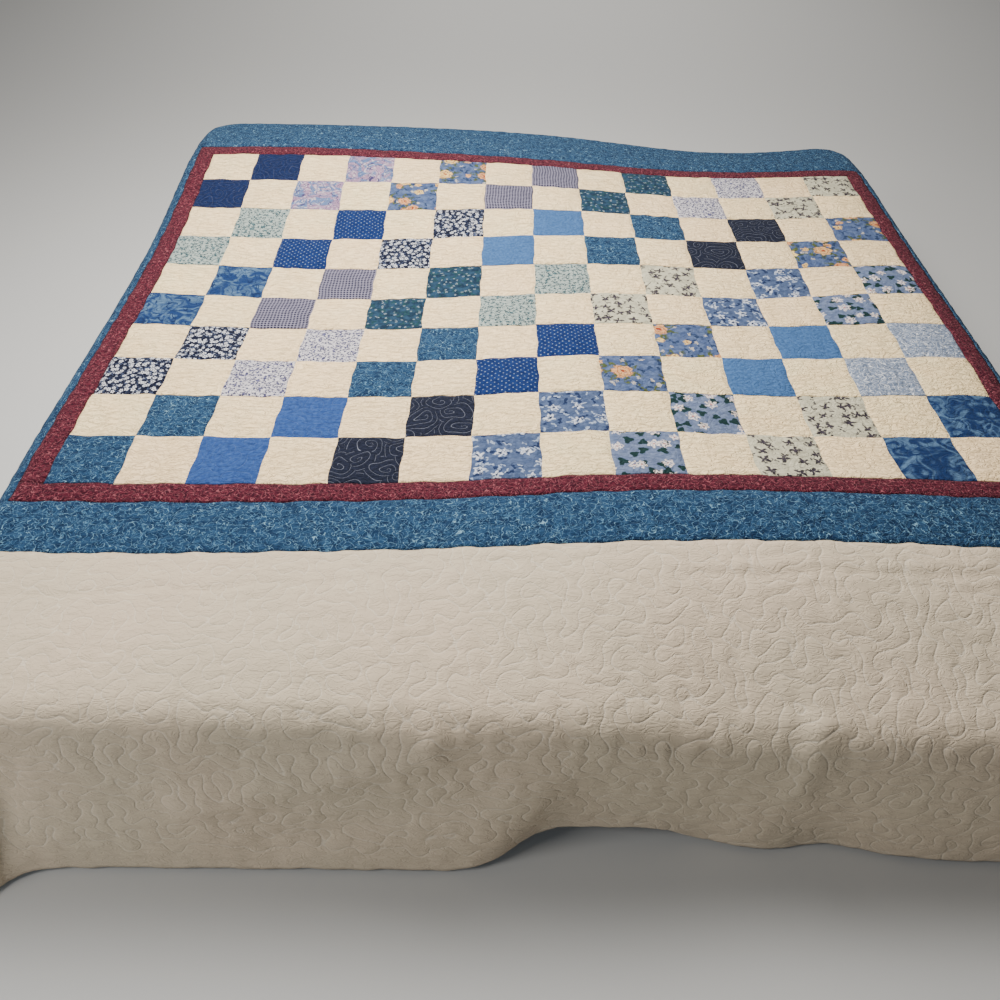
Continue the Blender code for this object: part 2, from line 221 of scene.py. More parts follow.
# %% The drape function
def split(s, t):
    """The nearest point of the bed's core, the direction out of it and the distance."""
    a, b = np.clip(s, -CORE_X, CORE_X), np.clip(t, -CORE_Y, CORE_Y)
    out = np.hypot(s - a, t - b)
    safe = np.maximum(out, 1e-9)
    return a, b, (s - a) / safe, (t - b) / safe, out


def drape(s, t, gap=CLEARANCE, folded=True):
    """Where flat points lie, gap metres outside the mattress, as rows of x, y, z."""
    a, b, across, along, out = split(s, t)
    roll = EDGE_ROUND + gap
    past = np.maximum(out - LEVEL_OUT, 0)
    slope = 0.0
    if folded:
        down = np.clip((past - roll * math.pi / 2) / HANG, 0, 1)
        reach, _ = fold_at(place_round(a, b, across, along), down)
        slope = np.arcsin(np.minimum(reach / HANG, MOST_SLOPE))
    turn = np.minimum(past / roll, math.pi / 2 - slope)
    straight = past - roll * turn
    ahead = np.minimum(out, LEVEL_OUT) + roll * np.sin(turn) + straight * np.sin(slope)
    fall = roll * (1 - np.cos(turn)) + straight * np.cos(slope)
    edge = np.minimum(ahead, CORNER_ROUND)
    height = lie(a + across * edge, b + along * edge) - CLEARANCE + gap
    return np.stack([a + across * ahead, b + along * ahead, height - fall], axis=-1)


def hem_distance(a, b, across, along):
    """Flat distance from the core to the hem that hangs just over the floor."""
    roll = EDGE_ROUND + CLEARANCE
    reach, lift = fold_at(place_round(a, b, across, along), 1.0)
    slope = np.arcsin(np.minimum(reach / HANG, MOST_SLOPE))
    turn = math.pi / 2 - slope
    top = lie(a + across * CORNER_ROUND, b + along * CORNER_ROUND)
    straight = (top - roll * (1 - np.cos(turn)) - HEM_HEIGHT - lift) / np.cos(slope)
    return LEVEL_OUT + roll * turn + straight


print("hem at", np.round(drape(np.array([0.0]), -CORE_Y - hem_distance(0.0, -CORE_Y, *FOOT)), 3))

# %% [markdown]
# ## Stipple quilting
# The cream border is quilted with one wandering line that never crosses itself. Its lobes are
# 3 to 4 cm wide and look like clouds. A free hand draws them as bulbs joined by necks, so here
# jittered points on a lattice are joined into a random tree. Bulbs and necks round that tree
# have an outline, and this outline is the sewn line. The field below is the distance to it.

# %% The tree of quilted lobes
LOBE = 0.042
NECK = 0.0052
BULB_LOW, BULB_HIGH = 0.0108, 0.0165
STIPPLE_LOW = (-1.42, -1.26)
STIPPLE_STEPS = (69, 62)
JITTER = 0.22  # of a lobe's spacing


def grow_tree(seed):
    """A random tree on the lattice: for each point, whether it joins the next right and up."""
    chance = random.Random(seed)
    wide, high = STIPPLE_STEPS
    right, up = np.zeros((wide, high), bool), np.zeros((wide, high), bool)
    group = {(i, j): (i, j) for i in range(wide) for j in range(high)}

    def root(point):
        while group[point] != point:
            group[point] = group[group[point]]
            point = group[point]
        return point

    steps = [(i, j, 1, 0) for i in range(wide - 1) for j in range(high)]
    steps += [(i, j, 0, 1) for i in range(wide) for j in range(high - 1)]
    chance.shuffle(steps)
    for i, j, di, dj in steps:
        here, there = root((i, j)), root((i + di, j + dj))
        if here != there:
            group[here] = there
            (right if di else up)[i, j] = True
    return right, up


joined_right, joined_up = grow_tree(7)
dice = np.random.default_rng(11)
lattice = np.stack(np.meshgrid(*[np.arange(n) for n in STIPPLE_STEPS], indexing="ij"), axis=-1)
knots = np.array(STIPPLE_LOW) + LOBE * (lattice + dice.uniform(-JITTER, JITTER, lattice.shape))
bulbs = dice.uniform(BULB_LOW, BULB_HIGH, STIPPLE_STEPS)
print("tree joints:", int(joined_right.sum() + joined_up.sum()))

# %% The distance field of the quilted line
SOFT_JOIN = 0.0035  # rounds the corners where necks meet bulbs
SWAY = 0.0055  # pushes the line about, so that no lobe is a true circle
NOT_JOINED, FAR_OFF = 1.0, 0.2


def to_neck(s, t, start, end, joined):
    """Distance to the neck between two knots, far away where they aren't joined."""
    run = end - start
    share = ((s - start[..., 0]) * run[..., 0] + (t - start[..., 1]) * run[..., 1])
    share = np.clip(share / (run ** 2).sum(-1), 0, 1)
    off = np.hypot(s - start[..., 0] - share * run[..., 0], t - start[..., 1] - share * run[..., 1])
    return np.where(joined, off - NECK, NOT_JOINED)


def stipple(s, t):
    """Signed distance to the quilted line: below zero inside the lobes."""
    s, t = s + SWAY * np.sin(t * 71 + s * 27), t + SWAY * np.sin(s * 79 - t * 23)
    near_i = np.round((s - STIPPLE_LOW[0]) / LOBE).astype(int)
    near_j = np.round((t - STIPPLE_LOW[1]) / LOBE).astype(int)
    total = np.zeros_like(s)
    for di in range(-2, 3):
        for dj in range(-2, 3):
            i = np.clip(near_i + di, 0, STIPPLE_STEPS[0] - 2)
            j = np.clip(near_j + dj, 0, STIPPLE_STEPS[1] - 2)
            knot = knots[i, j]
            parts = [np.hypot(s - knot[..., 0], t - knot[..., 1]) - bulbs[i, j]]
            parts.append(to_neck(s, t, knot, knots[i + 1, j], joined_right[i, j]))
            parts.append(to_neck(s, t, knot, knots[i, j + 1], joined_up[i, j]))
            for part in parts:
                total += np.exp(-np.minimum(part, FAR_OFF) / SOFT_JOIN)
    return -SOFT_JOIN * np.log(total)


print("field at the foot:", np.round(stipple(np.array([0.0, 0.01]), np.array([-0.9, -0.9])), 4))

# %% [markdown]
# ## Relief of the sewn cloth
# Sewing pulls cloth down along each seam, and the filling lifts it between the seams. Washing
# then adds small ripples. Wide creases cross the hanging lobes, and narrow puckers run beside
# the long seams. Each is a height in metres above the cloth's plain face, so they can simply
# be added up.

# %% Distance to a seam
def nearest_line(value, spacing):
    """Distance to the nearest of evenly spaced lines."""
    return np.abs((value / spacing + 0.5) % 1 - 0.5) * spacing


def outline_distance(s, t, half, foot, head):
    """Distance to the outline of a rectangle."""
    out_s, out_t = np.abs(s) - half, np.maximum(foot - t, t - head)
    outside = np.hypot(np.maximum(out_s, 0), np.maximum(out_t, 0))
    return np.where(np.maximum(out_s, out_t) > 0, outside, -np.maximum(out_s, out_t))


def seam_distance(s, t):
    """Distance to the nearest seam of the quilt."""
    inside = (np.abs(s) <= PANEL_X) & (t >= PANEL_FOOT) & (t <= PANEL_HEAD)
    grid = np.minimum(nearest_line(s - PANEL_X, PATCH), nearest_line(t - PANEL_FOOT, PATCH))
    rim = outline_distance(s, t, PANEL_X, PANEL_FOOT, PANEL_HEAD)
    rim = np.minimum(rim, outline_distance(s, t, INNER_X, INNER_FOOT, INNER_HEAD))
    rim = np.minimum(rim, outline_distance(s, t, MIDDLE_X, MIDDLE_FOOT, MIDDLE_HEAD + 1.0))
    return np.where(inside, np.minimum(grid, rim), rim)


middle_of_patch = np.array(0.0635), np.array(0.0295)
print("seam distance in a patch's middle:", round(float(seam_distance(*middle_of_patch)), 4))

# %% Crowns, creases and puckers
PATCH_CROWN, STRIP_CROWN = 0.0026, 0.0014
CREASES = (  # from s, t to s, t, half width, height (below zero for a trough)
    (-0.540, -1.170, -0.170, -1.045, 0.036, 0.012),
    (-0.430, -1.262, -0.100, -1.145, 0.036, -0.005),
    (0.385, -1.100, 0.400, -0.985, 0.022, 0.006),
)
PUCKERS = (  # the same
    (0.200, -0.762, 0.960, -0.748, 0.0055, -0.0030),
    (0.150, -0.748, 0.820, -0.737, 0.0050, 0.0018),
    (0.380, -0.781, 0.980, -0.769, 0.0050, -0.0022),
    (-0.980, -0.800, -0.420, -0.768, 0.0055, -0.0026),
    (-0.640, -0.778, -0.160, -0.760, 0.0050, -0.0016),
    (-0.180, -0.732, 0.120, -0.730, 0.0050, -0.0014),
)
PUCKER_BEND = 0.004
NARROW = 0.01  # lines with a smaller half width fade out at both ends


def crown(s, t):
    """The puffed middle of patches and strips."""
    across, along = np.sin(np.pi * (s - PANEL_X) / PATCH), np.sin(np.pi * (t - PANEL_FOOT) / PATCH)
    inside = (np.abs(s) < PANEL_X) & (t > PANEL_FOOT) & (t < PANEL_HEAD)
    puffed = PATCH_CROWN * np.sqrt(np.abs(across * along))
    wide = np.clip(seam_distance(s, t) / (MIDDLE_STRIP / 2), 0, 1)
    return np.where(inside, puffed, STRIP_CROWN * np.sin(wide * np.pi / 2))


def puckers(s, t):
    """Ridges and troughs that run beside seams and over the hanging lobes."""
    rise = np.zeros_like(s)
    for from_s, from_t, to_s, to_t, half, height in CREASES + PUCKERS:
        run_s, run_t = to_s - from_s, to_t - from_t
        share = ((s - from_s) * run_s + (t - from_t) * run_t) / (run_s ** 2 + run_t ** 2)
        near = np.clip(share, 0, 1)
        bend = PUCKER_BEND * np.sin(near * 17 + from_s * 9)
        off = np.hypot(s - from_s - near * run_s, t - from_t - near * run_t - bend)
        fade = np.sin(np.pi * near) ** 0.5 if half < NARROW else 1.0
        rise += height * fade * np.exp(-(off / half) ** 2)
    return rise


highest = round(float(crown(*middle_of_patch)), 4)
print("a patch puffs up", highest, "m;", len(CREASES), "creases and", len(PUCKERS), "puckers")

# %% Ripples
RIPPLE_SIZE, RIPPLE_HEIGHT, RIPPLE_SEED, WAVES = 0.045, 0.0005, 3, 9


def ripples(s, t):
    """Small even unevenness: a few waves of about one size in all directions."""
    waves = np.random.default_rng(RIPPLE_SEED)
    rise = np.zeros_like(s)
    for _ in range(WAVES):
        angle = waves.uniform(0, math.pi)
        length = RIPPLE_SIZE * waves.uniform(0.7, 1.5)
        phase = waves.uniform(0, 6.3)
        rise += np.sin((s * math.cos(angle) + t * math.sin(angle)) * math.tau / length + phase)
    return rise * RIPPLE_HEIGHT / 3


print("ripples at the panel's centre:", round(float(ripples(np.array(0.0), np.array(0.0))), 5))

# %% [markdown]
# ## Laying a piece
# A piece starts as Blender's grid primitive. Its points are moved to their flat places, then
# laid over the bed by the drape function and raised along the cloth's normal. The flat place
# stays as the UV map, so prints follow the cloth. Solidify then gives it its thickness.

# %% The cloth's skin, its wobble and its grid
STEP = 0.002  # between two places whose difference gives the cloth's slope


def skin(s, t, raised):
    """Points of the quilt, raised above its underside along the cloth's normal."""
    along_s = drape(s + STEP, t) - drape(s - STEP, t)
    along_t = drape(s, t + STEP) - drape(s, t - STEP)
    normal = np.cross(along_s, along_t)
    normal /= np.linalg.norm(normal, axis=-1, keepdims=True)
    return drape(s, t) + normal * np.asarray(raised)[..., None]


def wobble(s, t):
    """Sewn lines are never quite straight: a shift of a millimetre or two."""
    shift_s = 0.0013 * np.sin(t * 47 + 3 * np.sin(s * 4)) + 0.0008 * np.sin(t * 101 + s * 31)
    shift_t = 0.0013 * np.sin(s * 43 + 3 * np.sin(t * 5)) + 0.0008 * np.sin(s * 97 - t * 29)
    return s + shift_s, t + shift_t


def add_grid(name, columns, rows):
    """A grid plane of columns by rows cells, alone in the selection."""
    bpy.ops.object.select_all(action="DESELECT")
    bpy.ops.mesh.primitive_grid_add(x_subdivisions=columns, y_subdivisions=rows, size=2)
    piece = bpy.context.object
    piece.name = piece.data.name = name
    return piece


print("skin at the foot seam:", np.round(skin(np.array([0.0]), np.array([MIDDLE_FOOT]), THICK), 3))

# %% Laying a grid
DITCH, DITCH_HALF = 0.0011, 0.0045
LOBE_RISE, LOBE_EDGE = 0.0011, 0.0044


def keep_flat_place(piece, s, t):
    """Stores the flat place as the UV map and the quilted line's distance as an attribute."""
    mesh = piece.data
    layer = mesh.uv_layers[0]
    layer.name = "Flat"
    corner = np.empty(len(mesh.loops), np.int32)
    mesh.loops.foreach_get("vertex_index", corner)
    layer.data.foreach_set("uv", np.stack([s, t], axis=-1)[corner].astype(np.float32).ravel())
    line = mesh.attributes.new("Stipple", "FLOAT", "POINT")
    line.data.foreach_set("value", stipple(s, t).astype(np.float32))


def lay(piece, s, t, extra=0.0, quilted=False):
    """Lays a grid whose points are at the flat places s, t, numbered row by row."""
    s, t = np.asarray(s, float).ravel(), np.asarray(t, float).ravel()
    raised = THICK + crown(s, t) + puckers(s, t) + extra
    raised -= DITCH * np.exp(-(seam_distance(s, t) / DITCH_HALF) ** 2)
    raised += ripples(s, t)
    if quilted:
        raised += LOBE_RISE * (1 - np.exp(-(stipple(s, t) / LOBE_EDGE) ** 2)) - LOBE_RISE / 2
    place = skin(*wobble(s, t), raised)
    piece.data.vertices.foreach_set("co", place.astype(np.float32).ravel())
    keep_flat_place(piece, s, t)
    piece.data.update()


print("ditch", DITCH, "m deep, lobes", LOBE_RISE, "m high")

# %% Finishing a piece
def thicken(piece):
    """Gives a laid piece its thickness, inwards, and smooth shading."""
    bpy.context.view_layer.objects.active = piece
    bpy.ops.object.modifier_add(type="SOLIDIFY")
    piece.modifiers[-1].thickness = CLOTH
    piece.modifiers[-1].offset = -1
    bpy.ops.object.modifier_apply(modifier=piece.modifiers[-1].name)
    bpy.ops.object.shade_smooth()


def hand_over(piece, node):
    """Hides the solid that a piece stands for, attaches the piece to the root body and prints its face
    count.
    """
    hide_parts(node)
    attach(piece, "root")
    print(piece.name, len(piece.data.polygons), "faces")


print("pieces can be laid, thickened and handed over")

# %% [markdown]
# ## Drawing materials with nodes
# A print on cloth is a drawing, and nodes can draw it at any scale. These helpers keep the
# node code short: one adds a Math node, one a colour mix, one starts a group. Every print
# reads the UV map called Flat, so its numbers are metres on the flat cloth.

# %% Colours, links and sums
def srgb(red, green, blue):
    """A colour from 0 to 255 values, as the linear numbers that shaders use."""
    share = [value / 255 for value in (red, green, blue)]
    return tuple(c / 12.92 if c <= 0.04045 else ((c + 0.055) / 1.055) ** 2.4 for c in share) + (1.0,)


def feed(tree, socket, value):
    """Links a socket, or sets it to a plain value."""
    if isinstance(value, bpy.types.NodeSocket):
        tree.links.new(value, socket)
    else:
        socket.default_value = value


def calc(tree, operation, *values):
    """A Math node on values or sockets."""
    node = tree.nodes.new("ShaderNodeMath")
    node.operation = operation
    for socket, value in zip(node.inputs, values):
        feed(tree, socket, value)
    return node.outputs[0]


def vector_calc(tree, operation, *values):
    """A Vector Math node on sockets or vectors."""
    node = tree.nodes.new("ShaderNodeVectorMath")
    node.operation = operation
    for socket, value in zip(node.inputs, values):
        feed(tree, socket, value)
    return node.outputs["Vector"]


print("burgundy dye as a shader sees it:", [round(c, 3) for c in srgb(82, 26, 40)])

# %% Steps, layers and noise
def step_between(tree, value, low, high):
    """0 below low, 1 above high and a smooth step between them."""
    node = tree.nodes.new("ShaderNodeMapRange")
    node.interpolation_type = "SMOOTHSTEP"
    for label, given in (("Value", value), ("From Min", low), ("From Max", high)):
        feed(tree, node.inputs[label], given)
    return node.outputs["Result"]


def over(tree, below, above, share):
    """The colour above laid over the colour below."""
    node = tree.nodes.new("ShaderNodeMix")
    node.data_type = "RGBA"
    feed(tree, node.inputs["Factor"], share)
    feed(tree, node.inputs[6], below)
    feed(tree, node.inputs[7], above)
    return node.outputs[2]


def noise(tree, vector, size, detail=1.0, distortion=0.0):
    """A soft random pattern with spots of about that size in metres."""
    node = tree.nodes.new("ShaderNodeTexNoise")
    node.noise_dimensions = "2D"
    feed(tree, node.inputs["Vector"], vector)
    feed(tree, node.inputs["Scale"], 1 / size)
    feed(tree, node.inputs["Detail"], detail)
    feed(tree, node.inputs["Distortion"], distortion)
    return node.outputs["Fac"]


print("patterns can be stepped, layered and mixed")

# %% Starting and using a group
def start_group(name, inputs, outputs):
    """A new node group, with its sockets and its two end nodes."""
    tree = bpy.data.node_groups.new(name, "ShaderNodeTree")
    for label, kind, value in inputs:
        socket = tree.interface.new_socket(label, in_out="INPUT", socket_type="NodeSocket" + kind)
        if value is not None:
            socket.default_value = value
    for label, kind in outputs:
        tree.interface.new_socket(label, in_out="OUTPUT", socket_type="NodeSocket" + kind)
    return tree, tree.nodes.new("NodeGroupInput").outputs, tree.nodes.new("NodeGroupOutput").inputs


def use_group(tree, name, **values):
    """A group placed in a tree, with its inputs set by name."""
    node = tree.nodes.new("ShaderNodeGroup")
    node.node_tree = bpy.data.node_groups[name]
    for label, value in values.items():
        feed(tree, node.inputs[label], value)
    return node.outputs


print("groups before the first one:", len(bpy.data.node_groups))

# %% [markdown]
# ## Motifs that a print repeats
# Most quilting cottons repeat a small motif: a dot, a flower, a sprig. A Voronoi texture
# scatters points and tells how far each place lies from its own point. Turning that offset
# into an angle and a length draws petals: the edge swings in and out as the angle goes round.

# %% Group: scattered motif
tree, given, result = start_group(
    "Scattered motif",
    [("Vector", "Vector", None), ("Spacing", "Float", 0.03), ("Radius", "Float", 0.008),
     ("Petals", "Float", 5.0), ("Depth", "Float", 0.4), ("Scatter", "Float", 0.8),
     ("Shift", "Float", 0.0)],
    [("Mask", "Float"), ("Reach", "Float"), ("Angle", "Float"), ("Random", "Float")],
)
shifted = vector_calc(tree, "ADD", given["Vector"], given["Shift"])
in_cells = vector_calc(tree, "DIVIDE", shifted, given["Spacing"])
cells = tree.nodes.new("ShaderNodeTexVoronoi")
cells.voronoi_dimensions = "2D"
cells.inputs["Scale"].default_value = 1.0  # the spacing has already been divided out
feed(tree, cells.inputs["Vector"], in_cells)
feed(tree, cells.inputs["Randomness"], given["Scatter"])
parts = tree.nodes.new("ShaderNodeSeparateXYZ")
feed(tree, parts.inputs[0], vector_calc(tree, "SUBTRACT", in_cells, cells.outputs["Position"]))
dice_roll = tree.nodes.new("ShaderNodeSeparateColor")
feed(tree, dice_roll.inputs[0], cells.outputs["Color"])
angle = calc(tree, "ARCTAN2", parts.outputs["Y"], parts.outputs["X"])
angle = calc(tree, "MULTIPLY_ADD", dice_roll.outputs[0], math.tau, angle)
swing = calc(tree, "COSINE", calc(tree, "MULTIPLY", angle, given["Petals"]))
narrow = calc(tree, "MULTIPLY", calc(tree, "MULTIPLY_ADD", swing, -0.5, 0.5), given["Depth"])
size = calc(tree, "MULTIPLY_ADD", dice_roll.outputs[1], 0.35, 0.8)
widest = calc(tree, "MULTIPLY", given["Radius"], size)
edge = calc(tree, "MULTIPLY", widest, calc(tree, "SUBTRACT", 1.0, narrow))
length = calc(tree, "MULTIPLY", cells.outputs["Distance"], given["Spacing"])
reach = calc(tree, "DIVIDE", length, edge)
feed(tree, result["Reach"], reach)
feed(tree, result["Angle"], angle)
feed(tree, result["Random"], dice_roll.outputs[2])
feed(tree, result["Mask"], calc(tree, "SUBTRACT", 1.0, step_between(tree, reach, 0.85, 1.1)))
print("group", tree.name, "with", len(tree.nodes), "nodes")

# %% [markdown]
# ## Squiggles and stitching
# The teal border is printed with a light line that wanders: a noise texture crosses its
# middle value along such lines. The panel is quilted with swirls, spirals of stitches round
# scattered centres, sewn in a pale thread that only shows on dark cloth. A spiral is where
# the distance, counted in turns, less the angle, is a whole number.

# %% Group: squiggle
tree, given, result = start_group(
    "Squiggle",
    [("Vector", "Vector", None), ("Size", "Float", 0.008), ("Width", "Float", 0.03),
     ("Shift", "Float", 0.0)],
    [("Mask", "Float")],
)
field = tree.nodes.new("ShaderNodeTexNoise")
field.noise_dimensions = "2D"
field.inputs["Scale"].default_value = 1.0
field.inputs["Detail"].default_value = 0.6
field.inputs["Distortion"].default_value = 0.5
moved = vector_calc(tree, "ADD", given["Vector"], given["Shift"])
feed(tree, field.inputs["Vector"], vector_calc(tree, "DIVIDE", moved, given["Size"]))
from_middle = calc(tree, "ABSOLUTE", calc(tree, "SUBTRACT", field.outputs["Fac"], 0.5))
inner = calc(tree, "MULTIPLY", given["Width"], 0.4)
off_line = step_between(tree, from_middle, inner, given["Width"])
feed(tree, result["Mask"], calc(tree, "SUBTRACT", 1.0, off_line))
print("group", tree.name, "with", len(tree.nodes), "nodes")

# %% Group: swirl stitching
SWIRL_CELL, SWIRL_PITCH, THREAD_HALF = 0.056, 0.0120, 0.00038
BENDS_A_METRE, SWIRL_BEND = 20.0, 0.026
tree, given, result = start_group(
    "Swirl stitching", [("Vector", "Vector", None)], [("Thread", "Float"), ("Height", "Float")])
bent = tree.nodes.new("ShaderNodeTexNoise")
bent.noise_dimensions = "2D"
bent.inputs["Scale"].default_value = BENDS_A_METRE
bent.inputs["Detail"].default_value = 0.0
feed(tree, bent.inputs["Vector"], given["Vector"])
bend = vector_calc(tree, "SCALE", bent.outputs["Color"])
bend.node.inputs["Scale"].default_value = SWIRL_BEND
in_cells = vector_calc(tree, "ADD", given["Vector"], bend)
in_cells = vector_calc(tree, "DIVIDE", in_cells, (SWIRL_CELL,) * 3)
whorls = tree.nodes.new("ShaderNodeTexVoronoi")
whorls.voronoi_dimensions = "2D"
whorls.inputs["Scale"].default_value = 1.0
whorls.inputs["Randomness"].default_value = 0.9
feed(tree, whorls.inputs["Vector"], in_cells)
parts = tree.nodes.new("ShaderNodeSeparateXYZ")
feed(tree, parts.inputs[0], vector_calc(tree, "SUBTRACT", in_cells, whorls.outputs["Position"]))
turns = calc(tree, "DIVIDE", calc(tree, "ARCTAN2", parts.outputs["Y"], parts.outputs["X"]), math.tau)
rings = calc(tree, "MULTIPLY_ADD", whorls.outputs["Distance"], SWIRL_CELL / SWIRL_PITCH, turns)
to_ring = calc(tree, "ABSOLUTE", calc(tree, "SUBTRACT", calc(tree, "FRACT", rings), 0.5))
to_ring = calc(tree, "MULTIPLY", to_ring, SWIRL_PITCH)
thread = calc(tree, "SUBTRACT", 1.0, step_between(tree, to_ring, THREAD_HALF * 0.5, THREAD_HALF * 1.2))
feed(tree, result["Thread"], thread)
feed(tree, result["Height"], step_between(tree, to_ring, -0.0025, SWIRL_PITCH * 0.35))
print("group", tree.name, "with", len(tree.nodes), "nodes")

# %% Group: stipple stitching
THREAD_EDGE, GROOVE_HALF, GROOVE_DEPTH = (0.0003, 0.0012), 0.0034, 1.35
tree, given, result = start_group(
    "Stipple stitching", [("Distance", "Float", 0.0)], [("Thread", "Float"), ("Height", "Float")])
to_line = calc(tree, "ABSOLUTE", given["Distance"])
feed(tree, result["Thread"], calc(tree, "SUBTRACT", 1.0, step_between(tree, to_line, *THREAD_EDGE)))
groove = step_between(tree, to_line, -GROOVE_HALF, GROOVE_HALF)
feed(tree, result["Height"], calc(tree, "MULTIPLY", groove, GROOVE_DEPTH))
print("group", tree.name, "with", len(tree.nodes), "nodes")

# %% [markdown]
# ## Crinkles and weave
# A washed quilt crinkles between its lines of stitching. The filling doesn't shrink and the
# cotton does, so short soft creases form, mostly across the quilt. Weave and slubs are much
# finer: plain cotton's threads are a quarter of a millimetre wide.

# %% Group: crinkle
CREASE_SIZE, LUMP_SIZE = 0.0085, 0.024
STRETCHED = (0.42, 1.0, 1.0)
tree, given, result = start_group("Crinkle", [("Vector", "Vector", None)], [("Height", "Float")])
long_way = vector_calc(tree, "MULTIPLY", given["Vector"], STRETCHED)
creases = noise(tree, long_way, CREASE_SIZE, 2.5, 0.9)
creased = calc(tree, "ABSOLUTE", calc(tree, "MULTIPLY_ADD", creases, 2.0, -1.0))
lumps = noise(tree, given["Vector"], LUMP_SIZE, 2.0)
creased = step_between(tree, creased, 0.0, 0.30)
feed(tree, result["Height"], calc(tree, "MULTIPLY_ADD", lumps, 1.1, creased))
print("group", tree.name, "with", len(tree.nodes), "nodes")

# %% Group: cotton weave
THREADS_A_METRE = 600.0
SLUB_SIZE, CLOUD_SIZE = 0.0035, 0.09
tree, given, result = start_group(
    "Cotton weave", [("Vector", "Vector", None)], [("Shade", "Float"), ("Height", "Float")])
slubs = noise(tree, given["Vector"], SLUB_SIZE, 3.0)
threads = tree.nodes.new("ShaderNodeTexWave")
threads.bands_direction = "DIAGONAL"
threads.inputs["Scale"].default_value = THREADS_A_METRE
threads.inputs["Distortion"].default_value = 3.0
feed(tree, threads.inputs["Vector"], given["Vector"])
cloud = noise(tree, given["Vector"], CLOUD_SIZE, 2.0)
shade = calc(tree, "MULTIPLY_ADD", slubs, 0.10, 0.90)
feed(tree, result["Shade"], calc(tree, "MULTIPLY_ADD", cloud, 0.10, shade))
feed(tree, result["Height"], calc(tree, "MULTIPLY_ADD", threads.outputs["Fac"], 0.25, slubs))
print("groups:", sorted(group.name for group in bpy.data.node_groups))

# %% [markdown]
# ## Finishing a cloth
# Each cloth has its own print, and the rest is shared: the weave's shade, the thread of the
# quilting, the groove it makes, and a rough surface with a little sheen. The print is given
# as a function that returns a colour socket, and this helper does what all cloths share.

# %% From a print to a cloth
PALE_THREAD = srgb(172, 176, 188)
WEAVE_HEIGHT, BUMP_DEPTH = 0.10, 0.0012


def new_material(name, roughness):
    """A material of that roughness, with its node tree and its shader."""
    material = bpy.data.materials.new(name)
    material.use_nodes = True
    shader = material.node_tree.nodes["Principled BSDF"]
    shader.inputs["Roughness"].default_value = roughness
    return material, material.node_tree, shader


def make_cloth(name, draw, thread, thread_colour=PALE_THREAD, stipple_line=False, crinkle=0.9):
    """A cloth whose print is drawn by draw(tree, flat)."""
    material, tree, shader = new_material(name, 0.88)
    shader.inputs["Specular IOR Level"].default_value = 0.10
    shader.inputs["Sheen Weight"].default_value = 0.02
    shader.inputs["Sheen Roughness"].default_value = 0.6
    place = tree.nodes.new("ShaderNodeUVMap")
    place.uv_map = "Flat"
    flat = place.outputs["UV"]
    weave = use_group(tree, "Cotton weave", Vector=flat)
    if stipple_line:
        line = tree.nodes.new("ShaderNodeAttribute")
        line.attribute_name = "Stipple"
        stitching = use_group(tree, "Stipple stitching", Distance=line.outputs["Fac"])
    else:
        stitching = use_group(tree, "Swirl stitching", Vector=flat)
    shown = calc(tree, "MULTIPLY", stitching["Thread"], thread)
    colour = over(tree, draw(tree, flat), thread_colour, shown)
    feed(tree, shader.inputs["Base Color"], vector_calc(tree, "MULTIPLY", colour, weave["Shade"]))
    height = calc(tree, "MULTIPLY_ADD", weave["Height"], WEAVE_HEIGHT, stitching["Height"])
    creased = use_group(tree, "Crinkle", Vector=flat)["Height"]
    height = calc(tree, "MULTIPLY_ADD", creased, crinkle, height)
    bump = tree.nodes.new("ShaderNodeBump")
    bump.inputs["Strength"].default_value = 1.0
    bump.inputs["Distance"].default_value = BUMP_DEPTH
    feed(tree, bump.inputs["Height"], height)
    feed(tree, shader.inputs["Normal"], bump.outputs["Normal"])
    return material


print("thread", [round(c, 2) for c in PALE_THREAD[:3]], "over every cloth")

# %% Short names for what prints are made of
def motif(tree, flat, spacing, radius, petals, depth, scatter, shift=0.0):
    """The scattered motif's outputs: its mask, reach, angle and random number."""
    return use_group(tree, "Scattered motif", Vector=flat, Spacing=spacing, Radius=radius,
                     Petals=petals, Depth=depth, Scatter=scatter, Shift=shift)


def squiggle(tree, flat, size, width, shift=0.0):
    """The mask of a wandering line."""
    return use_group(tree, "Squiggle", Vector=flat, Size=size, Width=width, Shift=shift)["Mask"]


def scattered(tree, ground, colour, flat, spacing, radius, petals, depth, scatter, shift=0.0):
    """A scattered motif printed over a ground."""
    return over(tree, ground, colour,
                motif(tree, flat, spacing, radius, petals, depth, scatter, shift)["Mask"])


def mottle(tree, flat, dark, light, size, low=0.35, high=0.65):
    """Two shades of one colour in soft clouds."""
    return over(tree, dark, light, step_between(tree, noise(tree, flat, size, 2.0), low, high))


def pushed_about(tree, flat, size, amount):
    """The flat place pushed about a little, so that printed shapes look brushed."""
    push = tree.nodes.new("ShaderNodeTexNoise")
    push.noise_dimensions = "2D"
    push.inputs["Scale"].default_value = 1.0 / size
    push.inputs["Detail"].default_value = 2.0
    feed(tree, push.inputs["Vector"], flat)
    moved = tree.nodes.new("ShaderNodeVectorMath")
    moved.operation = "MULTIPLY_ADD"
    feed(tree, moved.inputs[0], push.outputs["Color"])
    moved.inputs[1].default_value = (amount, amount, 0.0)
    feed(tree, moved.inputs[2], flat)
    return moved.outputs[0]


def ragged(tree, flat, mask, size, low, high):
    """A mask with holes, as brush strokes leave them."""
    return calc(tree, "MULTIPLY", mask, step_between(tree, noise(tree, flat, size, 2.0), low, high))


print("prints can use motifs, squiggles, mottles, pushes and rags")

# %% [markdown]
# ## Plain and mottled cloths
# Cream is the ground of the whole quilt. Its squares aren't all alike: some lean to green
# and some to pink, as cream cottons from several bolts do. A White Noise node on the patch's
# row and column gives each square its own tint.

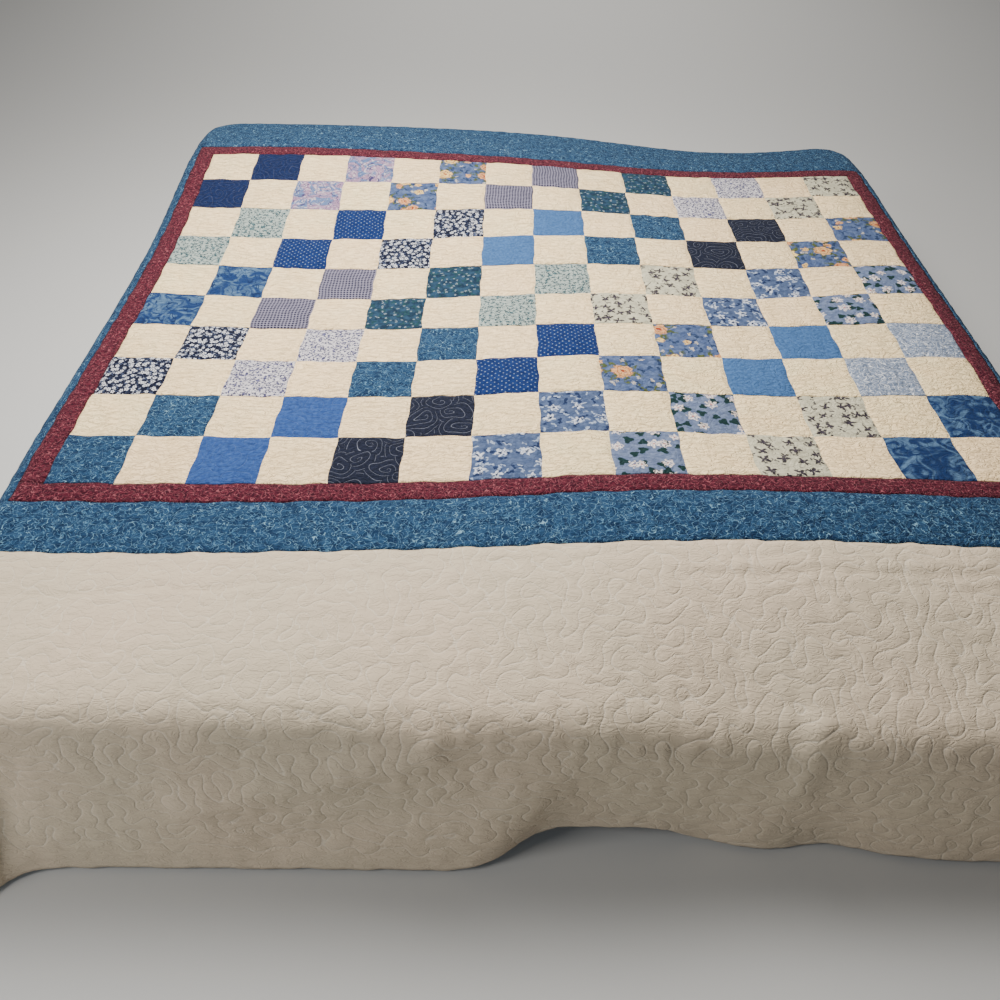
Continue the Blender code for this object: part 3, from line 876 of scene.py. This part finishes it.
# %% The two creams
def draw_cream(tree, flat):
    from_corner = vector_calc(tree, "ADD", flat, (PANEL_X, -PANEL_FOOT, 0))
    spot = vector_calc(tree, "DIVIDE", from_corner, (PATCH,) * 3)
    bolt = tree.nodes.new("ShaderNodeTexWhiteNoise")
    bolt.noise_dimensions = "2D"
    feed(tree, bolt.inputs["Vector"], vector_calc(tree, "FLOOR", spot))
    tinted = over(tree, srgb(249, 229, 178), srgb(255, 223, 177), bolt.outputs["Value"])
    return over(tree, tinted, srgb(251, 217, 164), noise(tree, flat, 0.05, 2.0))


def draw_border_cream(tree, flat):
    cloud = step_between(tree, noise(tree, flat, 0.30, 2.0), 0.30, 0.70)
    return over(tree, srgb(203, 186, 160), srgb(207, 187, 161), cloud)


print("cream drawn, one tint for each square")

# %% Sky, periwinkle, navy, midnight and burgundy
def dyed(dark, light, size):
    """Draws a plain cloth, dyed in two close shades."""
    return lambda tree, flat: mottle(tree, flat, dark, light, size)


draw_sky = dyed(srgb(58, 92, 138), srgb(68, 104, 150), 0.006)
draw_periwinkle = dyed(srgb(42, 70, 126), srgb(52, 81, 136), 0.008)
draw_navy = dyed(srgb(16, 28, 62), srgb(23, 37, 75), 0.008)
draw_midnight = dyed(srgb(22, 26, 40), srgb(29, 33, 50), 0.006)


def draw_burgundy(tree, flat):
    ground = mottle(tree, flat, srgb(54, 14, 28), srgb(82, 26, 40), 0.007)
    scroll = calc(tree, "MULTIPLY", squiggle(tree, flat, 0.0075, 0.034), 0.6)
    return over(tree, ground, srgb(164, 92, 98), scroll)


print("four plain dyes and burgundy drawn")

# %% [markdown]
# ## Small all-over prints
# These have one motif each, or none but a fine line: dots in rows, a fine plaid, tiny
# marks, and the vermicelli of the teal border, which is also used in the panel.

# %% Vermicelli, dots, plaid and tiny marks
def draw_vermicelli(tree, flat):
    ground = mottle(tree, flat, srgb(18, 42, 70), srgb(34, 64, 94), 0.016, 0.3, 0.7)
    ground = over(tree, ground, srgb(70, 108, 136), squiggle(tree, flat, 0.0100, 0.026))
    return over(tree, ground, srgb(112, 148, 168), squiggle(tree, flat, 0.0115, 0.015, 3.7))


def draw_pale_vermicelli(tree, flat):
    ground = mottle(tree, flat, srgb(106, 118, 138), srgb(140, 150, 168), 0.009)
    return over(tree, ground, srgb(210, 212, 216), squiggle(tree, flat, 0.0095, 0.040, 1.3))


def draw_dots(tree, flat):
    ground = mottle(tree, flat, srgb(14, 36, 84), srgb(21, 46, 97), 0.01)
    askew = tree.nodes.new("ShaderNodeVectorRotate")
    feed(tree, askew.inputs["Vector"], flat)
    askew.inputs["Angle"].default_value = math.radians(45)
    dots = motif(tree, askew.outputs[0], 0.0104, 0.0016, 4, 0.0, 0.12)["Mask"]
    return over(tree, ground, srgb(146, 160, 184), calc(tree, "MULTIPLY", dots, 0.62))


def draw_plaid(tree, flat):
    parts = tree.nodes.new("ShaderNodeSeparateXYZ")
    feed(tree, parts.inputs[0], flat)
    colour = srgb(16, 16, 44)
    for axis in ("X", "Y"):
        wave = calc(tree, "SINE", calc(tree, "MULTIPLY", parts.outputs[axis], math.tau / 0.0074))
        stripe = calc(tree, "MULTIPLY", step_between(tree, wave, 0.0, 0.5), 0.60)
        colour = over(tree, colour, srgb(150, 144, 162), stripe)
    return colour


def draw_lavender(tree, flat):
    ground = over(tree, srgb(204, 198, 200), srgb(92, 90, 122), squiggle(tree, flat, 0.0105, 0.060))
    return scattered(tree, ground, srgb(44, 44, 80), flat, 0.0078, 0.0031, 3, 0.6, 1.0)


def draw_aqua(tree, flat):
    stems = squiggle(tree, flat, 0.0110, 0.062, 2.1)
    ground = over(tree, srgb(160, 170, 162), srgb(74, 100, 104), stems)
    return scattered(tree, ground, srgb(34, 58, 66), flat, 0.0105, 0.0038, 3, 0.7, 1.0)


print("small prints drawn")

# %% [markdown]
# ## Batiks
# Marbled cloths are dyed unevenly. Noise with distortion gives the dye's edges, and a
# second, finer noise breaks them up.

# %% Batik, dark marble and lilac marble
def draw_batik(tree, flat):
    ground = over(tree, srgb(24, 50, 94), srgb(82, 110, 138),
                  step_between(tree, noise(tree, flat, 0.030, 3.0, 1.2), 0.38, 0.68))
    return over(tree, ground, srgb(20, 40, 78), squiggle(tree, flat, 0.022, 0.035))


def draw_dark_marble(tree, flat):
    return over(tree, srgb(20, 44, 84), srgb(78, 106, 136),
                step_between(tree, noise(tree, flat, 0.030, 3.0, 1.4), 0.40, 0.70))


def draw_lilac_marble(tree, flat):
    ground = over(tree, srgb(92, 114, 152), srgb(154, 124, 148),
                  step_between(tree, noise(tree, flat, 0.055, 3.0, 1.5), 0.42, 0.56))
    veins = step_between(tree, noise(tree, flat, 0.018, 3.0, 2.0), 0.52, 0.66)
    ground = over(tree, ground, srgb(186, 174, 182), veins)
    return over(tree, ground, srgb(66, 58, 96), squiggle(tree, flat, 0.018, 0.032, 5.0))


print("batiks drawn")

# %% [markdown]
# ## Flowers and leaves
# Florals need layers: a ground, leaves, petals, then the flowers' hearts. A layer that uses
# the same spacing and shift lands on the same points, so leaves can peep out from under a
# flower. In the rose print, a spiral like the one of the stitching draws the rolled petals.

# %% Dark floral, bold floral, white floral
def draw_dark_floral(tree, flat):
    ground = mottle(tree, flat, srgb(22, 44, 62), srgb(38, 66, 88), 0.016)
    brushed = pushed_about(tree, flat, 0.007, 0.006)
    ground = scattered(tree, ground, srgb(30, 62, 68), brushed, 0.021, 0.0085, 3, 0.8, 1.0, 2.2)
    flowers = motif(tree, brushed, 0.0165, 0.0034, 5, 0.5, 1.0)
    ground = over(tree, ground, srgb(132, 144, 150), flowers["Mask"])
    return over(tree, ground, srgb(24, 46, 70), calc(tree, "LESS_THAN", flowers["Reach"], 0.38))


def draw_bold_floral(tree, flat):
    ground = over(tree, srgb(14, 18, 38), srgb(72, 82, 108), squiggle(tree, flat, 0.0120, 0.036, 1.9))
    small = motif(tree, flat, 0.0105, 0.0030, 3, 0.6, 1.0, 4.0)
    ground = over(tree, ground, srgb(146, 150, 162), small["Mask"])
    flowers = motif(tree, flat, 0.0136, 0.0049, 5, 0.40, 0.9)
    ground = over(tree, ground, srgb(214, 214, 218), flowers["Mask"])
    return over(tree, ground, srgb(14, 18, 38), calc(tree, "LESS_THAN", flowers["Reach"], 0.36))


def draw_white_floral(tree, flat):
    ground = mottle(tree, flat, srgb(66, 81, 112), srgb(81, 96, 127), 0.012)
    brushed = pushed_about(tree, flat, 0.008, 0.009)
    ground = scattered(tree, ground, srgb(30, 44, 76), brushed, 0.028, 0.0090, 2, 0.85, 1.0, 1.1)
    ground = scattered(tree, ground, srgb(150, 162, 184), brushed, 0.021, 0.0066, 2, 0.90, 1.0, 3.3)
    flowers = motif(tree, brushed, 0.050, 0.0128, 5, 0.50, 0.9)
    petals = ragged(tree, flat, flowers["Mask"], 0.006, 0.36, 0.50)
    ground = over(tree, ground, srgb(200, 204, 214), petals)
    return over(tree, ground, srgb(24, 36, 62), calc(tree, "LESS_THAN", flowers["Reach"], 0.30))


print("three florals drawn")

# %% Leaf floral, sprigs and roses
def draw_leaf_floral(tree, flat):
    ground = mottle(tree, flat, srgb(92, 105, 134), srgb(107, 120, 147), 0.012)
    brushed = pushed_about(tree, flat, 0.007, 0.006)
    ground = scattered(tree, ground, srgb(20, 46, 46), brushed, 0.032, 0.0112, 3, 0.42, 0.8, 0.013)
    flowers = motif(tree, brushed, 0.044, 0.0130, 6, 0.35, 0.8)
    petals = ragged(tree, flat, flowers["Mask"], 0.0045, 0.38, 0.52)
    ground = over(tree, ground, srgb(224, 210, 202), petals)
    return over(tree, ground, srgb(176, 122, 116), calc(tree, "LESS_THAN", flowers["Reach"], 0.20))


def draw_sprigs(tree, flat):
    ground = mottle(tree, flat, srgb(184, 178, 153), srgb(196, 190, 164), 0.02)
    brushed = pushed_about(tree, flat, 0.006, 0.007)
    ground = scattered(tree, ground, srgb(50, 46, 48), brushed, 0.030, 0.0118, 4, 0.84, 0.75)
    ground = scattered(tree, ground, srgb(64, 56, 66), brushed, 0.030, 0.0078, 5, 0.9, 0.75)
    return scattered(tree, ground, srgb(88, 84, 80), brushed, 0.021, 0.0052, 2, 0.85, 1.0, 6.1)


def draw_roses(tree, flat):
    ground = mottle(tree, flat, srgb(66, 82, 118), srgb(86, 102, 136), 0.014)
    brushed = pushed_about(tree, flat, 0.011, 0.014)
    ground = scattered(tree, ground, srgb(40, 56, 86), brushed, 0.026, 0.0085, 2, 0.85, 1.0, 2.7)
    leaves = motif(tree, brushed, 0.086, 0.0430, 7, 0.62, 0.75)["Mask"]
    greens = over(tree, srgb(34, 50, 36), srgb(96, 104, 58), noise(tree, flat, 0.009, 2.0))
    ground = over(tree, ground, greens, ragged(tree, flat, leaves, 0.010, 0.38, 0.52))
    ground = scattered(tree, ground, srgb(176, 168, 160), brushed, 0.044, 0.0056, 5, 0.4, 0.9, 5.4)
    for spacing, radius, shift in ((0.086, 0.0215, 0.0), (0.069, 0.0110, 1.7)):
        rose = motif(tree, brushed, spacing, radius, 5, 0.12, 0.75, shift)
        petals = over(tree, srgb(236, 208, 132), srgb(214, 150, 104), rose["Random"])
        turns = calc(tree, "DIVIDE", rose["Angle"], math.tau)
        rolled = calc(tree, "FRACT", calc(tree, "MULTIPLY_ADD", rose["Reach"], 2.3, turns))
        shade = calc(tree, "MULTIPLY", step_between(tree, rolled, 0.45, 0.98), 0.95)
        petals = over(tree, petals, srgb(150, 84, 48), shade)
        petals = over(tree, petals, srgb(156, 64, 34), calc(tree, "LESS_THAN", rose["Reach"], 0.22))
        ground = over(tree, ground, petals, ragged(tree, flat, rose["Mask"], 0.008, 0.24, 0.36))
    return ground


print("leaf floral, sprigs and roses drawn")

# %% [markdown]
# ## The bolts of cloth
# Every bolt gets its material here. The pale thread hides on light cloths and shows as fine
# swirls on navy, midnight and burgundy.

# %% Make the cloths
LITTLE_THREAD = 0.04
THREAD_SHARE = {"navy": 0.12, "midnight": 0.36, "periwinkle": 0.08, "sky": 0.06, "cream": 0.0}
CREAM_CRINKLE, PRINT_CRINKLE, BORDER_CRINKLE = 1.5, 0.9, 0.45
BOLTS = {
    "cream": draw_cream, "sky": draw_sky, "periwinkle": draw_periwinkle, "navy": draw_navy,
    "midnight": draw_midnight, "vermicelli": draw_vermicelli, "pale_vermicelli": draw_pale_vermicelli,
    "dots": draw_dots, "plaid": draw_plaid, "lavender": draw_lavender, "aqua": draw_aqua,
    "batik": draw_batik, "dark_marble": draw_dark_marble, "lilac_marble": draw_lilac_marble,
    "dark_floral": draw_dark_floral, "bold_floral": draw_bold_floral, "white_floral": draw_white_floral,
    "leaf_floral": draw_leaf_floral, "sprigs": draw_sprigs, "roses": draw_roses,
}
cloths = {}
for name, draw in BOLTS.items():
    crinkle = CREAM_CRINKLE if name == "cream" else PRINT_CRINKLE
    thread = THREAD_SHARE.get(name, LITTLE_THREAD)
    cloths[name] = make_cloth("cloth_" + name, draw, thread, crinkle=crinkle)
burgundy = make_cloth("cloth_burgundy", draw_burgundy, 0.18, srgb(200, 130, 136), crinkle=PRINT_CRINKLE)
border_cream = make_cloth("cloth_border_cream", draw_border_cream, 0.26, srgb(240, 230, 212),
                          stipple_line=True, crinkle=BORDER_CRINKLE)
print(len(cloths) + 2, "cloths")

# %% [markdown]
# ## The patchwork panel
# The maker sews four-patch blocks: a cream square at the top left and bottom right, and one
# print in the other two. Seven blocks make a row, and five rows make the panel. Each row of
# blocks is one piece here. Its grid lines crowd towards the seams, where the cloth bends most.

# %% Rows of four-patch blocks
CELLS = 24  # along each side of a patch
CROWDING = 0.5  # 0 for even lines, towards 1 for lines that crowd at the seams
CHART = (  # head to foot, left to right
    ("navy", "lilac_marble", "roses", "plaid", "dark_floral", "lavender", "sprigs"),
    ("aqua", "dots", "bold_floral", "sky", "vermicelli", "midnight", "roses"),
    ("batik", "plaid", "dark_floral", "aqua", "sprigs", "white_floral", "leaf_floral"),
    ("bold_floral", "lavender", "vermicelli", "dots", "roses", "sky", "pale_vermicelli"),
    ("vermicelli", "periwinkle", "midnight", "white_floral", "leaf_floral", "sprigs", "dark_marble"),
)


def crowded(start, patches):
    """Flat places of the grid lines over some patches, crowded at their seams."""
    line = np.arange(patches * CELLS + 1) / CELLS
    return start + PATCH * (line - CROWDING * np.sin(math.tau * line) / math.tau)


def inset(lines):
    """Moves the first and last line in by half a seam."""
    lines[0] += SEAM_HALF
    lines[-1] -= SEAM_HALF
    return lines


def block_row(number, prints):
    """One row of seven blocks, with each patch's faces in its own cloth."""
    foot = PANEL_HEAD - (number + 1) * 2 * PATCH
    piece = add_grid("patch_row_" + str(number + 1), COLUMNS * CELLS, 2 * CELLS)
    s, t = np.meshgrid(inset(crowded(-PANEL_X, COLUMNS)), inset(crowded(foot, 2)))
    lay(piece, s, t)
    for name in ("cream",) + prints:
        piece.data.materials.append(cloths[name])
    column = np.tile(np.arange(COLUMNS * CELLS) // CELLS, 2 * CELLS)
    upper = np.repeat(np.arange(2 * CELLS) // CELLS, COLUMNS * CELLS)
    printed = (column % 2) == upper
    slots = np.where(printed, column // 2 + 1, 0)
    piece.data.polygons.foreach_set("material_index", slots.astype(np.int32))
    thicken(piece)
    return piece


for number, prints in enumerate(CHART):
    hand_over(block_row(number, prints), "patchwork_panel")

# %% [markdown]
# ## The burgundy and teal strips
# Strips are long rectangles. The side strips end between the head and foot strips, as they
# are sewn in that order. The teal strip at the head is wider, because it turns down over the
# mattress's end, so its grid runs over the bend.

# %% Strips round the panel
FINE = 0.0062  # between two grid lines


def spaced(low, high):
    """Even grid lines between two seams."""
    return inset(np.linspace(low, high, max(2, round((high - low) / FINE)) + 1))


def strip(name, side_s, side_t, cloth):
    """A rectangle of cloth between seams."""
    s_lines, t_lines = spaced(*side_s), spaced(*side_t)
    piece = add_grid("cloth_" + name, len(s_lines) - 1, len(t_lines) - 1)
    lay(piece, *np.meshgrid(s_lines, t_lines))
    piece.data.materials.append(cloth)
    thicken(piece)
    hand_over(piece, name)


teal = cloths["vermicelli"]
strip("inner_strip_foot", (-INNER_X, INNER_X), (INNER_FOOT, PANEL_FOOT), burgundy)
strip("inner_strip_head", (-INNER_X, INNER_X), (PANEL_HEAD, INNER_HEAD), burgundy)
strip("inner_strip_left", (-INNER_X, -PANEL_X), (PANEL_FOOT, PANEL_HEAD), burgundy)
strip("inner_strip_right", (PANEL_X, INNER_X), (PANEL_FOOT, PANEL_HEAD), burgundy)
strip("middle_strip_foot", (-MIDDLE_X, MIDDLE_X), (MIDDLE_FOOT, INNER_FOOT), teal)
strip("middle_strip_head", (-MIDDLE_X, MIDDLE_X), (INNER_HEAD, MIDDLE_HEAD), teal)
strip("middle_strip_left", (-MIDDLE_X, -INNER_X), (INNER_FOOT, INNER_HEAD), teal)
strip("middle_strip_right", (INNER_X, MIDDLE_X), (INNER_FOOT, INNER_HEAD), teal)

# %% [markdown]
# ## The wide foot border
# This piece lies on the bed, rolls over its foot and hangs down with two rounded corners. It
# is laid in two grids that share an edge: one for the part on top and one that walks round
# the bed from side to side. They are joined and their doubles merged, then thickened.

# %% The foot border in two grids
HANG_ROWS = 72
FAN_STEPS = 96
CORE_T_LINES, CORE_S_LINES = 33, 261
HEM_ROLL, HEM_RISE, HEM_SLOPE = 0.009, 0.0011, 0.002


def hem_rise(to_hem):
    """The turned hem stands a little higher than the cloth beside it."""
    return HEM_RISE * np.clip((HEM_ROLL - to_hem) / HEM_SLOPE, 0, 1)


def walk_round(t_lines, s_lines):
    """Start points and directions of the columns: left end, fan, foot, fan, right end."""
    fan = np.linspace(0, math.pi / 2, FAN_STEPS + 1)[1:-1]
    rows = [(-CORE_X, t, -1.0, 0.0) for t in t_lines[::-1]]
    rows += [(-CORE_X, -CORE_Y, -math.cos(turn), -math.sin(turn)) for turn in fan]
    rows += [(s, -CORE_Y, 0.0, -1.0) for s in s_lines]
    rows += [(CORE_X, -CORE_Y, math.cos(turn), -math.sin(turn)) for turn in fan[::-1]]
    rows += [(CORE_X, t, 1.0, 0.0) for t in t_lines]
    return np.array(rows).T


core_t = np.linspace(-CORE_Y, MIDDLE_FOOT - SEAM_HALF, CORE_T_LINES)
core_s = np.linspace(-CORE_X, CORE_X, CORE_S_LINES)
flat_part = add_grid("flat_part", len(core_s) - 1, len(core_t) - 1)
lay(flat_part, *np.meshgrid(core_s, core_t), quilted=True)

a, b, across, along = walk_round(core_t, core_s)
hem = hem_distance(a, b, across, along)
share = np.linspace(1, 0, HANG_ROWS + 1)[:, None]
foot_border = add_grid("cloth_outer_border_foot", len(a) - 1, HANG_ROWS)
standing = hem_rise(((1 - share) * hem).ravel())
lay(foot_border, a + across * share * hem, b + along * share * hem, standing, quilted=True)
print("foot hem", round(float(hem.min()), 3), "to", round(float(hem.max()), 3), "m from the core")

# %% Join, merge and thicken the foot border
MERGE = 0.00005  # doubles on the shared edge lie closer than this


def join_grids(top, wall):
    """Joins the top's grid into the wall's and merges the points on their shared edge."""
    top.select_set(True)
    wall.select_set(True)
    bpy.context.view_layer.objects.active = wall
    bpy.ops.object.join()
    bpy.ops.object.mode_set(mode="EDIT")
    bpy.ops.mesh.select_all(action="SELECT")
    bpy.ops.mesh.remove_doubles(threshold=MERGE)
    bpy.ops.object.mode_set(mode="OBJECT")


join_grids(flat_part, foot_border)
foot_border.data.materials.append(border_cream)
thicken(foot_border)

flat_wide = 2 * (CORE_X + float(hem[0]))
flat_long = MIDDLE_FOOT + CORE_Y + float(hem.max())
fan_area = float(np.mean(hem[len(core_t):len(core_t) + FAN_STEPS] ** 2)) * math.pi / 4
cut_area = 2 * CORE_X * flat_long + 2 * float(hem[0]) * (MIDDLE_FOOT + CORE_Y) + 2 * fan_area
cut_area = min(cut_area, flat_wide * flat_long)
hand_over(foot_border, "outer_border_foot")

# %% [markdown]
# ## The side borders
# The side borders hang from the teal strips. Past the head corner their end turns the corner
# a little, so the hem's distance is worked out again for that stretch.

# %% Side borders
HEM_ROUNDS = 4
SIDE_COLUMNS = 44


def side_end(side, t):
    """Flat distance from the core's side to the hem of a side border, for each t."""
    past, beside = np.maximum(t - CORE_Y, 0), np.minimum(t, CORE_Y)
    hem = hem_distance(side * CORE_X, beside, side, 0.0)
    for _ in range(HEM_ROUNDS):
        turn = np.arcsin(past / hem)
        hem = hem_distance(side * CORE_X, beside, side * np.cos(turn), np.sin(turn))
    return np.sqrt(hem ** 2 - past ** 2)


def side_border(side, name):
    """The border that hangs at the left (-1) or right (1)."""
    t_lines = spaced(MIDDLE_FOOT, MIDDLE_HEAD)
    seam = MIDDLE_X + SEAM_HALF - CORE_X
    end = side_end(side, t_lines)
    share = np.linspace(0, 1, SIDE_COLUMNS + 1)[None, :]
    out = seam + (end[:, None] - seam) * share
    to_hem = end[:, None] - out
    t = np.broadcast_to(t_lines[:, None], out.shape)
    if side < 0:
        out, to_hem = out[:, ::-1], to_hem[:, ::-1]
    piece = add_grid("cloth_" + name, out.shape[1] - 1, out.shape[0] - 1)
    lay(piece, side * (CORE_X + out), t, hem_rise(to_hem.ravel()), quilted=True)
    piece.data.materials.append(border_cream)
    thicken(piece)
    hand_over(piece, name)


side_border(-1, "outer_border_left")
side_border(1, "outer_border_right")

# %% [markdown]
# ## The mattress
# Only the mattress's end shows, under the turned-down strip. It is a plain one: a soft block
# with rounded edges, a taped edge at its foot, and woven ticking. Its top follows the humps,
# and its wall runs straight down, so it is laid like the cloth but without folds.

# %% The mattress's own way round
MATTRESS_UNDERSIDE = BASE_HEIGHT + 0.0003


def mattress_column_ends(a, b, across, along):
    """Flat distance from the core to the foot of the mattress's wall."""
    top = lie(a + across * CORNER_ROUND, b + along * CORNER_ROUND) - CLEARANCE
    return LEVEL_OUT + EDGE_ROUND * math.pi / 2 + top - EDGE_ROUND - MATTRESS_UNDERSIDE


def whole_walk(s_lines, t_lines, fan_steps):
    """Columns all the way round the core, anticlockwise, with the first one repeated."""
    fan = np.linspace(0, math.pi / 2, fan_steps + 1)[1:-1]
    sides = (
        [(s, -CORE_Y, 0.0, -1.0) for s in s_lines],
        [(CORE_X, t, 1.0, 0.0) for t in t_lines],
        [(s, CORE_Y, 0.0, 1.0) for s in s_lines[::-1]],
        [(-CORE_X, t, -1.0, 0.0) for t in t_lines[::-1]],
    )
    corners = ((CORE_X, -CORE_Y, -90), (CORE_X, CORE_Y, 0), (-CORE_X, CORE_Y, 90), (-CORE_X, -CORE_Y, 180))
    rows = []
    for side, (x, y, degrees) in zip(sides, corners):
        start = math.radians(degrees)
        rows += side
        rows += [(x, y, math.cos(start + turn), math.sin(start + turn)) for turn in fan]
    return np.array(rows + rows[:1]).T


def lay_bare(piece, s, t, rise):
    """Lays a grid on the mattress's own skin, raised by rise."""
    s, t = np.asarray(s, float).ravel(), np.asarray(t, float).ravel()
    place = drape(s, t, 0.0, False)
    a, b, across, along, out = split(s, t)
    place[:, 0] += across * rise
    place[:, 1] += along * rise
    piece.data.vertices.foreach_set("co", place.astype(np.float32).ravel())
    keep_flat_place(piece, s, t)


print("the mattress's wall ends", MATTRESS_UNDERSIDE, "m above the floor")

# %% Mattress in two grids
TOP_COLUMNS, TOP_ROWS, CORNER_STEPS = 60, 62, 14
TAPE_RISE, TAPE_HALF, TAPE_UP = 0.0022, 0.007, 0.022
DENSE_TO = 0.62  # rows are close together from the wall's foot up to this share
DENSE_ROWS, OPEN_ROWS = 33, 21

bed_s = np.linspace(-CORE_X, CORE_X, TOP_COLUMNS + 1)
bed_t = np.linspace(-CORE_Y, CORE_Y, TOP_ROWS + 1)
mattress_top = add_grid("mattress_top", TOP_COLUMNS, TOP_ROWS)
lay_bare(mattress_top, *np.meshgrid(bed_s, bed_t), 0.0)
a, b, across, along = whole_walk(bed_s, bed_t, CORNER_STEPS)
end = mattress_column_ends(a, b, across, along)
dense, opened = np.linspace(1, DENSE_TO, DENSE_ROWS + 1), np.linspace(DENSE_TO, 0, OPEN_ROWS + 1)
rows = np.concatenate([dense, opened[1:]])[:, None]
mattress = add_grid("soft_mattress", len(a) - 1, len(rows) - 1)
up = ((1 - rows) * end).ravel()
tape = TAPE_RISE * np.exp(-((up - TAPE_UP) / TAPE_HALF) ** 4)
lay_bare(mattress, a + across * rows * end, b + along * rows * end, tape)
print("mattress wall", round(float(end.min()), 3), "to", round(float(end.max()), 3), "m out")

# %% Close the mattress
SMOOTH_BELOW = math.radians(40)
join_grids(mattress_top, mattress)
bpy.ops.object.mode_set(mode="EDIT")
bpy.ops.mesh.select_all(action="DESELECT")
bpy.ops.mesh.select_non_manifold(extend=False)
bpy.ops.mesh.edge_face_add()
bpy.ops.mesh.select_all(action="SELECT")
bpy.ops.mesh.normals_make_consistent(inside=False)
bpy.ops.object.mode_set(mode="OBJECT")
bpy.ops.object.shade_smooth_by_angle(angle=SMOOTH_BELOW)
print("mattress faces:", len(mattress.data.polygons))

# %% Ticking and base cloth
THREAD_SHADE, WOVEN_BUMP = 0.16, 0.0004


def make_woven(name, dark, light, thread):
    """A plain woven cloth on Object coordinates, with slubs and a fine weave."""
    material, tree, shader = new_material(name, 0.9)
    shader.inputs["Sheen Weight"].default_value = 0.1
    place = tree.nodes.new("ShaderNodeTexCoord").outputs["Object"]
    parts = tree.nodes.new("ShaderNodeSeparateXYZ")
    feed(tree, parts.inputs[0], place)
    weave = 0.0
    for axis in ("X", "Y", "Z"):
        wave = calc(tree, "SINE", calc(tree, "MULTIPLY", parts.outputs[axis], math.tau / thread))
        weave = calc(tree, "MULTIPLY_ADD", wave, THREAD_SHADE, weave)
    cloud = tree.nodes.new("ShaderNodeTexNoise")
    cloud.inputs["Scale"].default_value = 60.0
    cloud.inputs["Detail"].default_value = 4.0
    feed(tree, cloud.inputs["Vector"], place)
    height = calc(tree, "ADD", cloud.outputs["Fac"], weave)
    feed(tree, shader.inputs["Base Color"], over(tree, dark, light, height))
    bump = tree.nodes.new("ShaderNodeBump")
    bump.inputs["Distance"].default_value = WOVEN_BUMP
    feed(tree, bump.inputs["Height"], height)
    feed(tree, shader.inputs["Normal"], bump.outputs["Normal"])
    return material


ticking = make_woven("ticking", srgb(206, 202, 192), srgb(232, 229, 220), 0.0016)
mattress.data.materials.append(ticking)
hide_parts("mattress")
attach(mattress, "root")
print("mattress in", ticking.name)

# %% [markdown]
# ## The low base
# The base is hidden but for its end. It is a cloth-covered box, so its edges are rounded
# twice: wide at the four upright corners and narrow all round the top and bottom.

# %% Base
EDGE_BEVEL, EDGE_SEGMENTS = 0.006, 3
low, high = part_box("bed_base")
bpy.ops.object.select_all(action="DESELECT")
bpy.ops.mesh.primitive_cube_add(size=1, location=(low + high) / 2, scale=high - low)
base = bpy.context.object
base.name = base.data.name = "covered_base"
bpy.ops.object.transform_apply(location=True, rotation=False, scale=True)
bpy.ops.object.mode_set(mode="EDIT")
bpy.ops.mesh.select_mode(type="EDGE")
bpy.ops.mesh.select_all(action="DESELECT")
bpy.ops.object.mode_set(mode="OBJECT")
for edge in base.data.edges:
    start, stop = (base.data.vertices[k].co for k in edge.vertices)
    edge.select = abs(start.z - stop.z) > BASE_HEIGHT / 2
bpy.ops.object.mode_set(mode="EDIT")
bpy.ops.mesh.bevel(offset=CORNER_ROUND - BASE_INSET, segments=CORNER_STEPS, affect="EDGES")
bpy.ops.object.mode_set(mode="OBJECT")
bpy.ops.object.modifier_add(type="BEVEL")
base.modifiers[-1].width = EDGE_BEVEL
base.modifiers[-1].segments = EDGE_SEGMENTS
base.modifiers[-1].limit_method = "ANGLE"
base.modifiers[-1].angle_limit = math.radians(60)
bpy.ops.object.modifier_apply(modifier=base.modifiers[-1].name)
bpy.ops.object.shade_smooth_by_angle(angle=SMOOTH_BELOW)
base.data.materials.append(make_woven("base_cloth", srgb(84, 80, 76), srgb(118, 112, 106), 0.002))
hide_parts("bed_base")
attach(base, "root")
print("base", [round(v, 3) for v in base.dimensions])

# %% [markdown]
# ## Floor and light
# A plain pale floor and soft light from above show the cloth best. The main lamp is large and
# hangs behind the bed's left, so the top is bright, the foot's slope is a little darker and
# the hanging part shades the folds.

# %% Floor
FLOOR = 14.0
bpy.ops.object.select_all(action="DESELECT")
bpy.ops.mesh.primitive_plane_add(size=FLOOR)
floor = bpy.context.object
floor.name = "floor"
pale_floor, _, matt = new_material("pale_floor", 0.9)
matt.inputs["Base Color"].default_value = srgb(196, 195, 192)
floor.data.materials.append(pale_floor)
print("floor", FLOOR, "m square")

# %% Lights
def soft_light(name, place, towards, size, power, tint=(1.0, 0.98, 0.95)):
    """A square area light that points at a place."""
    bpy.ops.object.light_add(type="AREA", location=place)
    lamp = bpy.context.object
    lamp.name = name
    lamp.data.size = size
    lamp.data.energy = power
    lamp.data.color = tint
    away = np.array(place) - np.array(towards)
    lamp.rotation_euler = (math.atan2(math.hypot(away[0], away[1]), away[2]), 0,
                           math.atan2(away[1], away[0]) + math.pi / 2)
    return lamp


soft_light("main_light", (-0.45, 0.32, 2.1), (-0.1, 0.1, 0.3), 1.2, 96)
soft_light("front_light", (-2.6, -1.8, 2.4), (-0.3, -1.1, 0.2), 1.0, 40)
soft_light("fill_light", (-2.4, -3.7, 1.0), (-0.5, -1.15, 0.15), 1.6, 34, (0.80, 0.90, 1.0))
soft_light("floor_light", (0.0, 4.2, 3.2), (0.0, 4.6, 0.0), 2.5, 120)
world = bpy.data.worlds.new("studio")
bpy.context.scene.world = world
world.use_nodes = True
sky_light = world.node_tree.nodes["Background"]
sky_light.inputs["Color"].default_value = (0.86, 0.92, 1.0, 1.0)
sky_light.inputs["Strength"].default_value = 0.06
